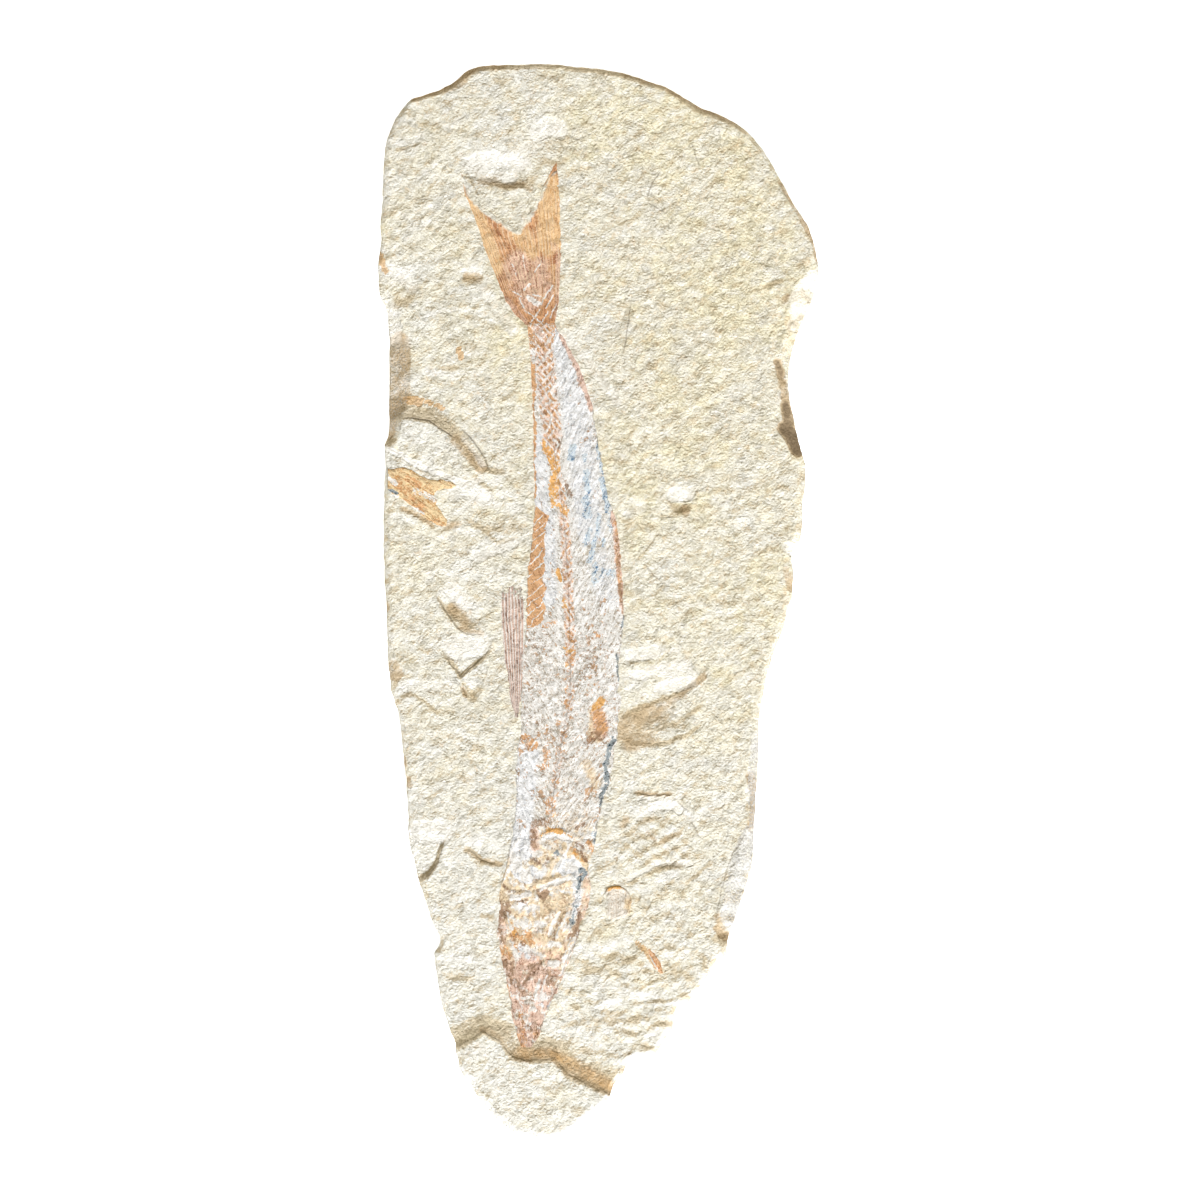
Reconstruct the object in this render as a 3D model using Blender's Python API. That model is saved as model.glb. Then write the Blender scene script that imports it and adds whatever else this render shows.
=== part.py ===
"""Fossil fish slab: a long limestone slab with a slender fish pressed into its prepared face.

The slab lies flat on its back. +Y runs from the fish's snout towards its tail, +X is to the right as
the face is seen from above and +Z is up. The origin is on the resting plane under the middle of the slab.
Plan shapes are read off a survey grid laid over the face: columns count to the right, rows count down
towards the snout, and the slab's length spans SURVEY_ROWS of them.
"""
import bmesh
import bpy
import numpy as np
from mathutils import Vector
from mathutils.geometry import delaunay_2d_cdt

MM = 0.001

# Driving sizes, in metres
SLAB_LENGTH = 200 * MM
FACE_LEVEL = 10.0 * MM          # prepared level that the fish lies on
BED_LEVEL = 9.3 * MM            # floor of the pockets that hold the fossils
GAP = 0.3 * MM                  # clearance between a fossil and its pocket
TIP_RISE = 1.6 * MM             # the untouched layer beyond the snout
ARC_RISE = 1.0 * MM             # the untouched layer at the left edge
EDGE_DROP = 0.35 * MM           # drop of the broken rim where it is narrowest
EDGE_SLOPE = 0.55               # extra drop per width of the broken rim
FACET = 3.5 * MM                # spacing of the stone's facets
ROUGHNESS = 0.13 * MM           # height of the stone's facets
CUTTER_TOP = 15 * MM            # clear of the highest stone
BODY_RISE = 0.30 * MM           # swell of the fish's flank above its border
BORDER_RISE = 0.12 * MM         # height of a fossil's border above the stone
VERTEBRA_PITCH = 1.68 * MM
VERTEBRA_RISE = 0.30 * MM
SKULL_PITCH = 1.6 * MM          # spacing of the facets along the skull
TAIL_RISE = 0.20 * MM
FIN_RISE = 0.18 * MM
SCRAP_RISE = 0.35 * MM
SEED = 11

# Side wall, from the broken rim down: height, inset from the outline and unevenness
WALL_RINGS = [
    (6.6 * MM, 0.5 * MM, 0.35 * MM), (3.4 * MM, 0.5 * MM, 0.35 * MM), (0.9 * MM, 0.9 * MM, 0.2 * MM),
    (0.0, 1.9 * MM, 0.2 * MM),
]

# Survey grid
SURVEY_ROWS = 1075
MID_COLUMN = 599
MID_ROW = 600.5
STEP = SLAB_LENGTH / SURVEY_ROWS

# The slab's outline, clockwise from its upper left: column, row, width of the broken rim
OUTLINE = [
    (411, 99, 3), (440, 89, 4), (455, 80, 5), (467, 70, 5), (480, 65, 4), (500, 64, 3), (545, 63, 3),
    (600, 68, 3), (625, 73, 4), (645, 79, 4), (665, 86, 4), (685, 97, 5), (700, 107, 6), (720, 114, 5),
    (738, 123, 4), (752, 135, 4), (765, 152, 4), (780, 178, 4), (790, 197, 4), (803, 217, 6), (810, 226, 7),
    (818, 258, 6), (820, 270, 9), (818, 285, 16), (808, 310, 18), (797, 335, 13), (790, 360, 10),
    (789, 380, 11), (790, 400, 11), (795, 420, 14), (799, 440, 12), (803, 453, 9), (806, 465, 9),
    (806, 488, 8), (803, 500, 7), (803, 525, 7), (801, 540, 7), (793, 548, 6), (792, 560, 7), (794, 575, 9),
    (793, 598, 8), (787, 610, 5), (785, 625, 4), (779, 640, 4), (772, 660, 4), (766, 680, 4), (762, 700, 4),
    (759, 725, 5), (758, 775, 10), (757, 805, 11), (753, 850, 11), (750, 870, 12), (741, 895, 13),
    (736, 915, 15), (729, 935, 12), (728, 945, 5), (726, 957, 4), (717, 960, 4), (710, 975, 4),
    (703, 983, 4), (688, 1004, 4), (676, 1007, 4), (673, 1028, 5), (664, 1043, 5), (655, 1056, 5),
    (633, 1059, 5), (627, 1062, 5), (624, 1074, 5), (613, 1085, 4), (611, 1094, 4), (607, 1101, 5),
    (594, 1113, 5), (579, 1125, 5), (565, 1134, 5), (552, 1138, 5), (536, 1138, 5), (521, 1135, 5),
    (507, 1128, 5), (497, 1119, 5), (485, 1106, 5), (475, 1093, 5), (470, 1082, 5), (464, 1077, 4),
    (459, 1067, 4), (458, 1057, 4), (455, 1050, 4), (456, 1043, 4), (450, 1032, 4), (447, 1021, 4),
    (441, 1004, 4), (438, 985, 4), (433, 953, 4), (439, 945, 4), (440, 939, 4), (436, 931, 4),
    (427, 907, 4), (419, 882, 7), (410, 850, 9), (408, 830, 6), (408, 805, 4), (406, 785, 4), (402, 745, 4),
    (400, 722, 4), (397, 710, 4), (390, 690, 6), (388, 665, 8), (387, 640, 5), (386, 610, 4), (384, 570, 4),
    (383, 540, 4), (383, 510, 4), (384, 480, 4), (386, 465, 4), (384, 445, 5), (388, 437, 10),
    (389, 425, 14), (388, 385, 19), (389, 345, 19), (387, 310, 9), (380, 298, 8), (378, 285, 8),
    (378, 262, 6), (381, 240, 4), (380, 222, 4), (382, 200, 4), (383, 175, 4), (384, 150, 4), (388, 135, 4),
    (394, 120, 4), (402, 108, 4),
]

# Rims of the two untouched layers, left to right, with the width of the worn foot below each
TIP_RIM = [
    (440, 1052), (459, 1046), (482, 1031), (494, 1039), (504, 1048), (516, 1057), (536, 1061), (555, 1059),
    (561, 1067), (570, 1077), (584, 1084), (596, 1090), (612, 1094), (640, 1098),
]
TIP_FOOT = (18, 30)
ARC_RIM = [(380, 420), (404, 418), (430, 421), (450, 433), (468, 452), (485, 470), (497, 488)]
ARC_FOOT = (22, 6)
ARC_REACH = 110                 # distance beyond the rim at which the left layer has worn away

# Scoops and chips: column, row, half length, half width, turn in degrees, depth in metres
HOLLOWS = [
    (550, 141, 22, 20, 20, 0.8 * MM),
    (500, 167, 44, 17, 4, 0.7 * MM),
    (660, 694, 58, 44, -28, 1.5 * MM),
    (462, 614, 34, 13, 42, 0.8 * MM),
    (467, 646, 27, 15, -8, 0.9 * MM),
    (473, 689, 16, 11, 20, 0.6 * MM),
    (428, 852, 34, 15, 100, 1.0 * MM),
    (486, 850, 26, 14, 14, 0.7 * MM),
    (495, 512, 30, 22, 20, 0.6 * MM),
    (678, 503, 16, 13, 0, 0.6 * MM),
    (658, 838, 42, 36, 0, 0.6 * MM),
    (402, 280, 22, 18, 20, 0.9 * MM),
    (632, 1008, 34, 16, -10, 0.8 * MM),
    (610, 956, 34, 14, -20, 0.6 * MM),
    (460, 968, 22, 12, 10, 0.4 * MM),
]
HUMMOCKS_CENTRE = (640, 985)    # middle of the rough ground beside the snout
HUMMOCKS_REACH = 95
HUMMOCKS_ROUGHNESS = 0.35 * MM
CLEAR_REACH = 7                 # distance from a fossil over which scoops reach their depth

# The fish's body: left border, right border and backbone, tail root to snout
BODY_LEFT = [
    (527, 326), (530, 370), (532, 400), (533, 470), (534, 505), (531, 540), (526, 580), (525, 628),
    (521, 660), (520, 720), (518, 745), (519, 780), (514, 835), (503, 870), (499, 890), (496, 930),
    (500, 960), (505, 985), (510, 1005), (515, 1030), (521, 1046),
]
BODY_RIGHT = [
    (554, 326), (566, 340), (580, 365), (594, 406), (600, 445), (609, 500), (614, 530), (620, 560),
    (624, 600), (625, 618), (620, 660), (620, 700), (619, 735), (615, 755), (611, 775), (602, 815),
    (597, 840), (589, 870), (590, 890), (588, 905), (580, 925), (570, 950), (556, 990), (548, 1010),
    (540, 1030), (533, 1046),
]
BACKBONE = [
    (540, 326), (545, 360), (548, 400), (553, 440), (560, 490), (565, 530), (568, 580), (570, 640),
    (570, 700), (562, 740), (555, 780), (550, 826), (543, 880), (536, 960), (527, 1046),
]
SKULL_ROW = 826
BODY_COLUMNS = 8                # facets across the body
SPINE_COLUMN = 3                # grid line that follows the backbone
RIB_RISE = 0.07 * MM

# Bars and plates of the skull: half width, rise and centre line
SKULL_BARS = [
    (5, 0.35 * MM, [(530, 832), (546, 825), (562, 829), (578, 842), (588, 858)]),
    (6, 0.30 * MM, [(556, 850), (572, 858), (580, 874)]),
    (7, 0.30 * MM, [(512, 862), (520, 884), (508, 906)]),
    (6, 0.30 * MM, [(582, 905), (566, 934), (552, 962)]),
    (6, 0.30 * MM, [(500, 925), (508, 965), (518, 1010), (526, 1044)]),
    (5, 0.25 * MM, [(566, 960), (552, 996), (532, 1040)]),
    (5, 0.25 * MM, [(545, 958), (528, 985)]),
]

# The tail fin: outer edges from the root to the lobe tips, and the forked hind edge between the tips
TAIL_LEFT = [
    (526, 324), (515, 315), (505, 300), (495, 275), (485, 250), (475, 220), (466, 195), (463, 180),
]
TAIL_RIGHT = [(555, 324), (559, 300), (561, 270), (561, 240), (560, 200), (558, 170)]
TAIL_HIND = [
    (463, 180), (471, 195), (481, 208), (498, 219), (510, 227), (518, 231), (530, 215), (541, 195),
    (549, 178), (558, 170),
]
TAIL_RAYS = 9
TAIL_ROWS = 6

# The long-rayed belly fin, from its root to its tips
FIN_LEFT = [(500, 588), (501, 630), (505, 670), (512, 714)]
FIN_RIGHT = [(524, 582), (523, 620), (519, 660), (518, 716)]
FIN_RAYS = 5
FIN_ROWS = 5

# Loose fossils beside the fish
FLAKE = [
    (392, 474), (404, 467), (418, 473), (440, 478), (456, 483), (451, 489), (430, 492), (427, 500),
    (440, 514), (443, 527), (430, 521), (411, 508), (397, 500), (393, 488),
]
FLAKE_RIDGES = [[(400, 474), (420, 481), (446, 484)], [(402, 488), (418, 500), (436, 519)]]
SPLINTER = [(645, 946), (655, 952), (662, 963), (665, 974), (660, 975), (652, 964)]
SPLINTER_RIDGE = [(650, 952), (657, 962)]
DISC = (616, 903, 16, 18)       # column, row, half width and half length of the round shell
DISC_POINTS = 16
DISC_RIM = 0.72                 # share of the radius where the shell's rim crests

STONE = (0.81, 0.76, 0.60)
BONE = (0.66, 0.42, 0.26)
SKIN = (0.72, 0.68, 0.62)
OCHRE = (0.72, 0.47, 0.22)


def plan(points):
    """Survey columns and rows to metres in plan, as an array of x and y."""
    grid = np.asarray(points, dtype=float)[:, :2]
    return np.column_stack([grid[:, 0] - MID_COLUMN, MID_ROW - grid[:, 1]]) * STEP


def nearest(points, line, closed=False):
    """Distance from each point to a line, and the place of its nearest spot counted in line points."""
    start = line if closed else line[:-1]
    end = np.roll(line, -1, axis=0) if closed else line[1:]
    run = end - start
    offset = points[:, None, :] - start[None]
    share = np.clip((offset * run).sum(2) / (run ** 2).sum(1), 0, 1)
    distance = np.linalg.norm(offset - share[:, :, None] * run, axis=2)
    best = distance.argmin(axis=1)
    rows = np.arange(len(points))
    return distance[rows, best], best + share[rows, best]


def beyond(points, rim):
    """True where a point lies below a rim line that runs from left to right."""
    return points[:, 1] < np.interp(points[:, 0], rim[:, 0], rim[:, 1])


def layer(points, rim, foot, rise):
    """An upper layer: full height beyond its rim, falling in a hollow curve across a worn foot."""
    distance, place = nearest(points, rim)
    width = np.interp(place, [0, len(rim) - 1], np.array(foot) * STEP)
    ramp = np.clip(1 - distance / width, 0, 1) ** 1.5
    return rise * np.where(beyond(points, rim), 1.0, ramp)


def scoops(points):
    """Depth of all scoops and chips: rounded bowls inside turned ellipses."""
    depth = np.zeros(len(points))
    for column, row, length, width, turn, deep in HOLLOWS:
        centre = plan([(column, row)])[0]
        angle = -np.radians(turn)
        x, y = (points - centre).T
        along = (x * np.cos(angle) + y * np.sin(angle)) / (length * STEP)
        across = (y * np.cos(angle) - x * np.sin(angle)) / (width * STEP)
        depth += deep * np.clip(1 - along ** 2 - across ** 2, 0, 1)
    return depth


def clear_of_fossils(points):
    """0 on every fossil, rising to 1 a short way off, so that no scoop undercuts a fossil."""
    clear = np.ones(len(points))
    for outline in fossil_outlines():
        share = nearest(points, outline, closed=True)[0] / (CLEAR_REACH * STEP)
        clear = np.minimum(clear, np.where(inside(points, outline), 0, share))
    return clear


def face_height(points):
    """Height of the prepared face before its rim is broken off and before any roughness."""
    x, y = points.T / MM
    swell = 0.16 * np.sin(x / 13 + 0.6) * np.cos(y / 21 - 0.4) + 0.10 * np.sin((x + 0.6 * y) / 9.5)
    tip = layer(points, plan(TIP_RIM), TIP_FOOT, TIP_RISE)
    arc_rim = plan(ARC_RIM)
    worn = 1 - nearest(points, arc_rim)[0] / (ARC_REACH * STEP)
    fade = np.clip((arc_rim[-1, 0] + 20 * STEP - points[:, 0]) / (60 * STEP), 0, 1)
    arc = layer(points, arc_rim, ARC_FOOT, ARC_RISE) * np.clip(worn, 0, 1) * fade
    return FACE_LEVEL + swell * MM + tip + arc - scoops(points) * clear_of_fossils(points)


def rim_drop(points):
    """How far the broken rim has fallen: most at the outline, none past the rim's width."""
    widths = np.array([width for _, _, width in OUTLINE] + [OUTLINE[0][2]]) * STEP
    distance, place = nearest(points, plan(OUTLINE), closed=True)
    width = np.interp(place, np.arange(len(widths)), widths)
    return (EDGE_DROP + EDGE_SLOPE * width) * np.clip(1 - distance / width, 0, 1)


def outline_inward(points):
    """Unit vector from each point near the outline into the slab."""
    outline = plan(OUTLINE)
    _, place = nearest(points, outline, closed=True)
    ahead = np.roll(outline, -1, axis=0) - outline
    ahead /= np.linalg.norm(ahead, axis=1)[:, None]
    here = ahead[np.floor(place).astype(int) % len(outline)]
    share = (place % 1)[:, None]
    before = ahead[(np.floor(place).astype(int) - 1) % len(outline)]
    after = ahead[(np.floor(place).astype(int) + 1) % len(outline)]
    mixed = here + np.clip(0.5 - share, 0, 1) * before + np.clip(share - 0.5, 0, 1) * after
    mixed /= np.linalg.norm(mixed, axis=1)[:, None]
    return np.column_stack([mixed[:, 1], -mixed[:, 0]])


def material(name, colour, roughness):
    """A plain, non-metallic Principled material."""
    made = bpy.data.materials.new(name)
    made.use_nodes = True
    shader = made.node_tree.nodes["Principled BSDF"]
    shader.inputs["Base Color"].default_value = (*colour, 1)
    shader.inputs["Roughness"].default_value = roughness
    shader.inputs["Metallic"].default_value = 0.0
    made.diffuse_color = (*colour, 1)
    return made


def add_object(name, bm, finish):
    """Put a finished bmesh into the scene with outward faces and its own material."""
    bmesh.ops.recalc_face_normals(bm, faces=bm.faces)
    mesh = bpy.data.meshes.new(name)
    bm.to_mesh(mesh)
    bm.free()
    mesh.materials.append(finish)
    made = bpy.data.objects.new(name, mesh)
    bpy.context.scene.collection.objects.link(made)
    return made


def surface(plan_points, faces, heights):
    """A bmesh of the top surface alone."""
    bm = bmesh.new()
    corners = [bm.verts.new((x, y, z)) for (x, y), z in zip(plan_points, heights)]
    for face in faces:
        bm.faces.new([corners[index] for index in face])
    return bm


def pull_border(bm, place):
    """Extrude the open border once and move each new point to place(x, y, z)."""
    border = [edge for edge in bm.edges if edge.is_boundary]
    made = bmesh.ops.extrude_edge_only(bm, edges=border)["geom"]
    ring = [item for item in made if isinstance(item, bmesh.types.BMVert)]
    spots = np.array([corner.co[:] for corner in ring])
    for corner, spot in zip(ring, place(spots)):
        corner.co = Vector(spot)


def close_border(bm):
    """Fill the one open border with a flat face."""
    border = [edge for edge in bm.edges if edge.is_boundary]
    bmesh.ops.holes_fill(bm, edges=border, sides=0)


def flat_at(level):
    """A border move that drops straight down to one level."""
    def drop(spots):
        spots[:, 2] = level
        return spots
    return drop


def triangulated(outline, lines, points):
    """Triangles inside an outline that keep the given lines as edges and the given points as corners."""
    corners = [tuple(point) for point in outline]
    edges = [(index, (index + 1) % len(outline)) for index in range(len(outline))]
    for line in lines:
        first = len(corners)
        corners += [tuple(point) for point in line]
        edges += [(index, index + 1) for index in range(first, len(corners) - 1)]
    corners += [tuple(point) for point in points]
    made = delaunay_2d_cdt([Vector(corner) for corner in corners], edges, [], 1, 1e-6)
    return np.array([point[:] for point in made[0]]), made[2]


def inside(points, outline):
    """True for points inside a closed outline, by counting the sides that a ray to +X crosses."""
    start, end = outline, np.roll(outline, -1, axis=0)
    x, y = points[:, 0, None], points[:, 1, None]
    spans = (start[:, 1] > y) != (end[:, 1] > y)
    rise = np.where(end[:, 1] == start[:, 1], 1.0, end[:, 1] - start[:, 1])
    crossing = start[:, 0] + (y - start[:, 1]) / rise * (end[:, 0] - start[:, 0])
    return (spans & (x < crossing)).sum(1) % 2 == 1


def scattered(outline, lines, spacing, rng):
    """Jittered points in rows inside an outline, kept clear of the outline and of the given lines."""
    low, high = outline.min(0), outline.max(0)
    rows = np.arange(low[1], high[1], spacing * 0.87)
    spots = [(x + (number % 2) * spacing / 2, y) for number, y in enumerate(rows)
             for x in np.arange(low[0], high[0], spacing)]
    spots = np.array(spots) + rng.uniform(-0.25, 0.25, (len(spots), 2)) * spacing
    spots = spots[inside(spots, outline)]
    spots = spots[nearest(spots, outline, closed=True)[0] > 0.45 * spacing]
    for line in lines:
        spots = spots[nearest(spots, line)[0] > 0.4 * spacing]
    return spots


def ellipse(column, row, length, width, turn, count):
    """Points around a turned ellipse on the survey grid."""
    angle = np.linspace(0, 2 * np.pi, count, endpoint=False)
    along, across = length * np.cos(angle), width * np.sin(angle)
    lean = np.radians(turn)
    columns = column + along * np.cos(lean) - across * np.sin(lean)
    return plan(np.column_stack([columns, row + along * np.sin(lean) + across * np.cos(lean)]))


def shifted(rim, foot):
    """The line at the foot of a layer: its rim moved up the face by the foot's width."""
    widths = np.linspace(foot[0], foot[1], len(rim)) * STEP
    ahead = np.gradient(rim, axis=0)
    ahead /= np.linalg.norm(ahead, axis=1)[:, None]
    return rim + np.column_stack([-ahead[:, 1], ahead[:, 0]]) * widths[:, None]


def clipped(line, outline):
    """The points of a line that lie well inside an outline."""
    deep = nearest(line, outline, closed=True)[0] > 0.6 * MM
    return line[inside(line, outline) & deep]


def make_slab():
    """The stone: a faceted face with ledges and scoops, a broken rim and layered side walls."""
    rng = np.random.default_rng(SEED)
    outline = plan(OUTLINE)
    widths = np.array([width for _, _, width in OUTLINE])[:, None] * STEP
    rim = outline + outline_inward(outline) * widths
    tip_rim, arc_rim = plan(TIP_RIM), plan(ARC_RIM)
    lines = [np.vstack([rim, rim[:1]])]
    for ledge, foot in ((tip_rim, TIP_FOOT), (arc_rim, ARC_FOOT)):
        lines.append(clipped(ledge, rim))
        lines.append(clipped(shifted(ledge, foot), rim))
    bowls = []
    for column, row, length, width, turn, _ in HOLLOWS:
        bowl = ellipse(column, row, length, width, turn, 9)
        floor = ellipse(column, row, 0.4 * length, 0.4 * width, turn, 4)
        bowls.append(clipped(np.vstack([bowl, floor]), rim))
    bowls = np.vstack(bowls)
    filler = scattered(rim, lines, FACET, rng)
    apart = np.linalg.norm(filler[:, None] - bowls[None], axis=2).min(1)
    filler = filler[apart > 0.5 * FACET]
    points, faces = triangulated(outline, lines, np.vstack([bowls, filler]))
    rough = np.full(len(points), ROUGHNESS)
    hummock = np.linalg.norm(points - plan([HUMMOCKS_CENTRE])[0], axis=1) < HUMMOCKS_REACH * STEP
    rough[hummock] = HUMMOCKS_ROUGHNESS
    rough *= nearest(points, outline, closed=True)[0] > 0.3 * MM
    heights = face_height(points) - rim_drop(points) + rng.uniform(-1, 1, len(points)) * rough
    bm = surface(points, faces, heights)

    def wall(level, inset, uneven):
        def move(spots):
            shift = inset + uneven * rng.uniform(-1, 1, len(spots))
            spots[:, :2] = outline_at(spots[:, :2], outline, shift)
            spots[:, 2] = level + (0 if level == 0 else uneven * rng.uniform(-1, 1, len(spots)))
            return spots
        return move

    for level, inset, uneven in WALL_RINGS:
        pull_border(bm, wall(level, inset, uneven))
    close_border(bm)
    return add_object("slab", bm, material("limestone", STONE, 0.92))


def outline_at(points, outline, inset):
    """The spots on the outline nearest to each point, moved into the slab by an inset."""
    _, place = nearest(points, outline, closed=True)
    first = np.floor(place).astype(int) % len(outline)
    share = (place % 1)[:, None]
    spot = outline[first] * (1 - share) + np.roll(outline, -1, axis=0)[first] * share
    return spot + outline_inward(spot) * inset[:, None]


def fossil_outlines():
    """The plan outlines of all the fossils."""
    body = BODY_LEFT + BODY_RIGHT[::-1]
    tail = TAIL_LEFT + TAIL_HIND[1:-1] + TAIL_RIGHT[::-1]
    fin = FIN_LEFT + FIN_RIGHT[::-1]
    disc = ellipse(*DISC, 0, DISC_POINTS)
    return [plan(body), plan(tail), plan(fin), plan(FLAKE), plan(SPLINTER), disc]


def grown(outline, margin):
    """A closed outline moved outwards by a margin, with pointed corners kept within twice of it."""
    ahead = np.roll(outline, -1, axis=0) - outline
    ahead /= np.linalg.norm(ahead, axis=1)[:, None]
    left = np.column_stack([-ahead[:, 1], ahead[:, 0]])
    corner = left + np.roll(left, 1, axis=0)
    corner /= np.linalg.norm(corner, axis=1)[:, None]
    miter = np.minimum(1 / np.clip((corner * left).sum(1), 0.1, 1), 2)
    around = np.roll(outline, -1, axis=0)
    clockwise = (outline[:, 0] * around[:, 1] - around[:, 0] * outline[:, 1]).sum() < 0
    return outline + corner * (miter * margin * (1 if clockwise else -1))[:, None]


def cut_pocket(slab, number, outline):
    """Sink a flat-floored pocket with a small clearance around one fossil into the slab."""
    bm = bmesh.new()
    floor = bm.faces.new([bm.verts.new((x, y, BED_LEVEL)) for x, y in grown(outline, GAP)])
    made = bmesh.ops.extrude_face_region(bm, geom=[floor])["geom"]
    for item in made:
        if isinstance(item, bmesh.types.BMVert):
            item.co.z = CUTTER_TOP
    cutter = add_object(f"pocket_cutter_{number}", bm, slab.data.materials[0])
    cutter.hide_render = True
    cutter.display_type = "WIRE"
    cut = slab.modifiers.new(f"pocket_{number}", "BOOLEAN")
    cut.operation = "DIFFERENCE"
    cut.object = cutter


def spaced(line, shares):
    """Points at the given shares of a line's length."""
    length = np.concatenate([[0], np.cumsum(np.linalg.norm(np.diff(line, axis=0), axis=1))])
    return np.column_stack([np.interp(shares, length / length[-1], line[:, axis]) for axis in (0, 1)])


def grid_faces(rows, columns):
    """Four-sided faces of a grid whose points run row by row."""
    return [(start, start + 1, start + columns + 1, start + columns)
            for row in range(rows - 1) for start in range(row * columns, row * columns + columns - 1)]


def fan(left, right, root, tips, rows, columns):
    """A grid stretched between four border lines, from a fin's root to its tips."""
    across, along = np.linspace(0, 1, columns), np.linspace(0, 1, rows)
    u, v = across[None, :, None], along[:, None, None]
    left, right = spaced(left, along)[:, None], spaced(right, along)[:, None]
    root, tips = spaced(root, across)[None], spaced(tips, across)[None]
    corners = (1 - u) * (1 - v) * root[:, :1] + u * (1 - v) * root[:, -1:]
    corners = corners + (1 - u) * v * tips[:, :1] + u * v * tips[:, -1:]
    return ((1 - u) * left + u * right + (1 - v) * root + v * tips - corners).reshape(-1, 2)


def add_fossil(name, points, faces, rise, finish):
    """A fossil that rises from the floor of its pocket to just above the stone's face."""
    bm = surface(points, faces, face_height(points) + BORDER_RISE + rise)
    pull_border(bm, flat_at(BED_LEVEL + GAP))
    close_border(bm)
    return add_object(name, bm, finish)


def make_body():
    """Skull, backbone and flanks in one relief: a row of knobs for the vertebrae, bars for the skull."""
    knobs = np.arange(BODY_LEFT[0][1], SKULL_ROW, VERTEBRA_PITCH / STEP / 2)
    skull_end = BODY_LEFT[-1][1]
    plates = np.linspace(SKULL_ROW, skull_end, round((skull_end - SKULL_ROW) * STEP / SKULL_PITCH) + 1)
    rows = np.concatenate([knobs, plates])
    left, spine, right = [
        np.interp(rows, [row for _, row in line], [column for column, _ in line])
        for line in (BODY_LEFT, BACKBONE, BODY_RIGHT)
    ]
    lines = np.arange(BODY_COLUMNS + 1)
    before = np.clip(lines / SPINE_COLUMN, 0, 1)
    after = np.clip((lines - SPINE_COLUMN) / (BODY_COLUMNS - SPINE_COLUMN), 0, 1)
    columns = left[:, None] + (spine - left)[:, None] * before + (right - spine)[:, None] * after
    points = plan(np.column_stack([columns.ravel(), np.repeat(rows, BODY_COLUMNS + 1)]))
    rise = BODY_RISE * np.sin(np.pi * lines / BODY_COLUMNS)[None] * np.ones((len(rows), 1))
    trunk = np.arange(len(rows)) < len(knobs)
    high = trunk & (np.arange(len(rows)) % 2 == 0)
    rise[:, SPINE_COLUMN] += VERTEBRA_RISE * (0.35 * trunk + 0.65 * high)
    ribs = (np.arange(len(rows))[:, None] // 2 + lines[None]) % 2 == 0
    rise[:, 1:-1] += (RIB_RISE * ribs * trunk[:, None])[:, 1:-1]
    rise = rise.ravel()
    for width, height, line in SKULL_BARS:
        rise += height * np.clip(1.4 - nearest(points, plan(line))[0] / (width * STEP), 0, 1)
    return add_fossil("fish_body", points, grid_faces(len(rows), BODY_COLUMNS + 1), rise,
                      material("bone_and_skin", SKIN, 0.8))


def make_rayed_fin(name, borders, rays, rows, rise):
    """A fin of raised rays: every other line of its grid is a ray."""
    columns = 2 * rays + 1
    points = fan(*[plan(border) for border in borders], rows, columns)
    ridges = np.tile(rise * (np.arange(columns) % 2), rows)
    return add_fossil(name, points, grid_faces(rows, columns), ridges, material(name + "_rays", BONE, 0.7))


def make_scrap(name, outline, ridges, colour):
    """A small flake: flat borders with raised ridge lines."""
    outline = plan(outline)
    lines = [plan(ridge) for ridge in ridges]
    points, faces = triangulated(outline, lines, np.empty((0, 2)))
    rise = np.where(nearest(points, outline, closed=True)[0] > 1e-6, SCRAP_RISE, 0)
    return add_fossil(name, points, faces, rise, material(name + "_bone", colour, 0.7))


def make_disc():
    """The round shell: a raised rim around a dished middle."""
    column, row, width, length = DISC
    outline = ellipse(column, row, width, length, 0, DISC_POINTS)
    crest = ellipse(column, row, width * DISC_RIM, length * DISC_RIM, 0, DISC_POINTS)
    middle = plan([(column, row)])
    points, faces = triangulated(outline, [], np.vstack([crest, middle]))
    from_middle = np.linalg.norm(points - middle, axis=1) / (width * STEP)
    rise = SCRAP_RISE * np.clip(1 - np.abs(from_middle - DISC_RIM) / (1 - DISC_RIM), 0, 1)
    return add_fossil("shell_disc", points, faces, rise, material("shell", STONE, 0.7))


def build():
    """Make the stone, then set every fossil in its pocket."""
    for thing in list(bpy.data.objects):
        bpy.data.objects.remove(thing)
    slab = make_slab()
    for number, outline in enumerate(fossil_outlines()):
        cut_pocket(slab, number, outline)
    make_body()
    root = [TAIL_LEFT[0], TAIL_RIGHT[0]]
    make_rayed_fin("tail_fin", (TAIL_LEFT, TAIL_RIGHT, root, TAIL_HIND), TAIL_RAYS, TAIL_ROWS, TAIL_RISE)
    root, tips = [FIN_LEFT[0], FIN_RIGHT[0]], [FIN_LEFT[-1], FIN_RIGHT[-1]]
    make_rayed_fin("belly_fin", (FIN_LEFT, FIN_RIGHT, root, tips), FIN_RAYS, FIN_ROWS, FIN_RISE)
    make_scrap("bone_flake", FLAKE, FLAKE_RIDGES, OCHRE)
    make_scrap("bone_splinter", SPLINTER, [SPLINTER_RIDGE], OCHRE)
    make_disc()


build()
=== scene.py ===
# %% [markdown]
# # A fossil fish in a limestone slab
# The real object is one long slab of cream, platy limestone. Its upper bedding layer was scraped away
# until a slender fish lay bare: a skull with long jaws, a knobbly backbone, pale skin with rust flecks
# and a forked tail fin of rust coloured rays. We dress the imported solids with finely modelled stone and
# bone. Everything is a height worked out by formula over a plan, because a prepared fossil face is just
# that: a nearly flat ground whose shallow relief shows under light that rakes across it.

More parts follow.
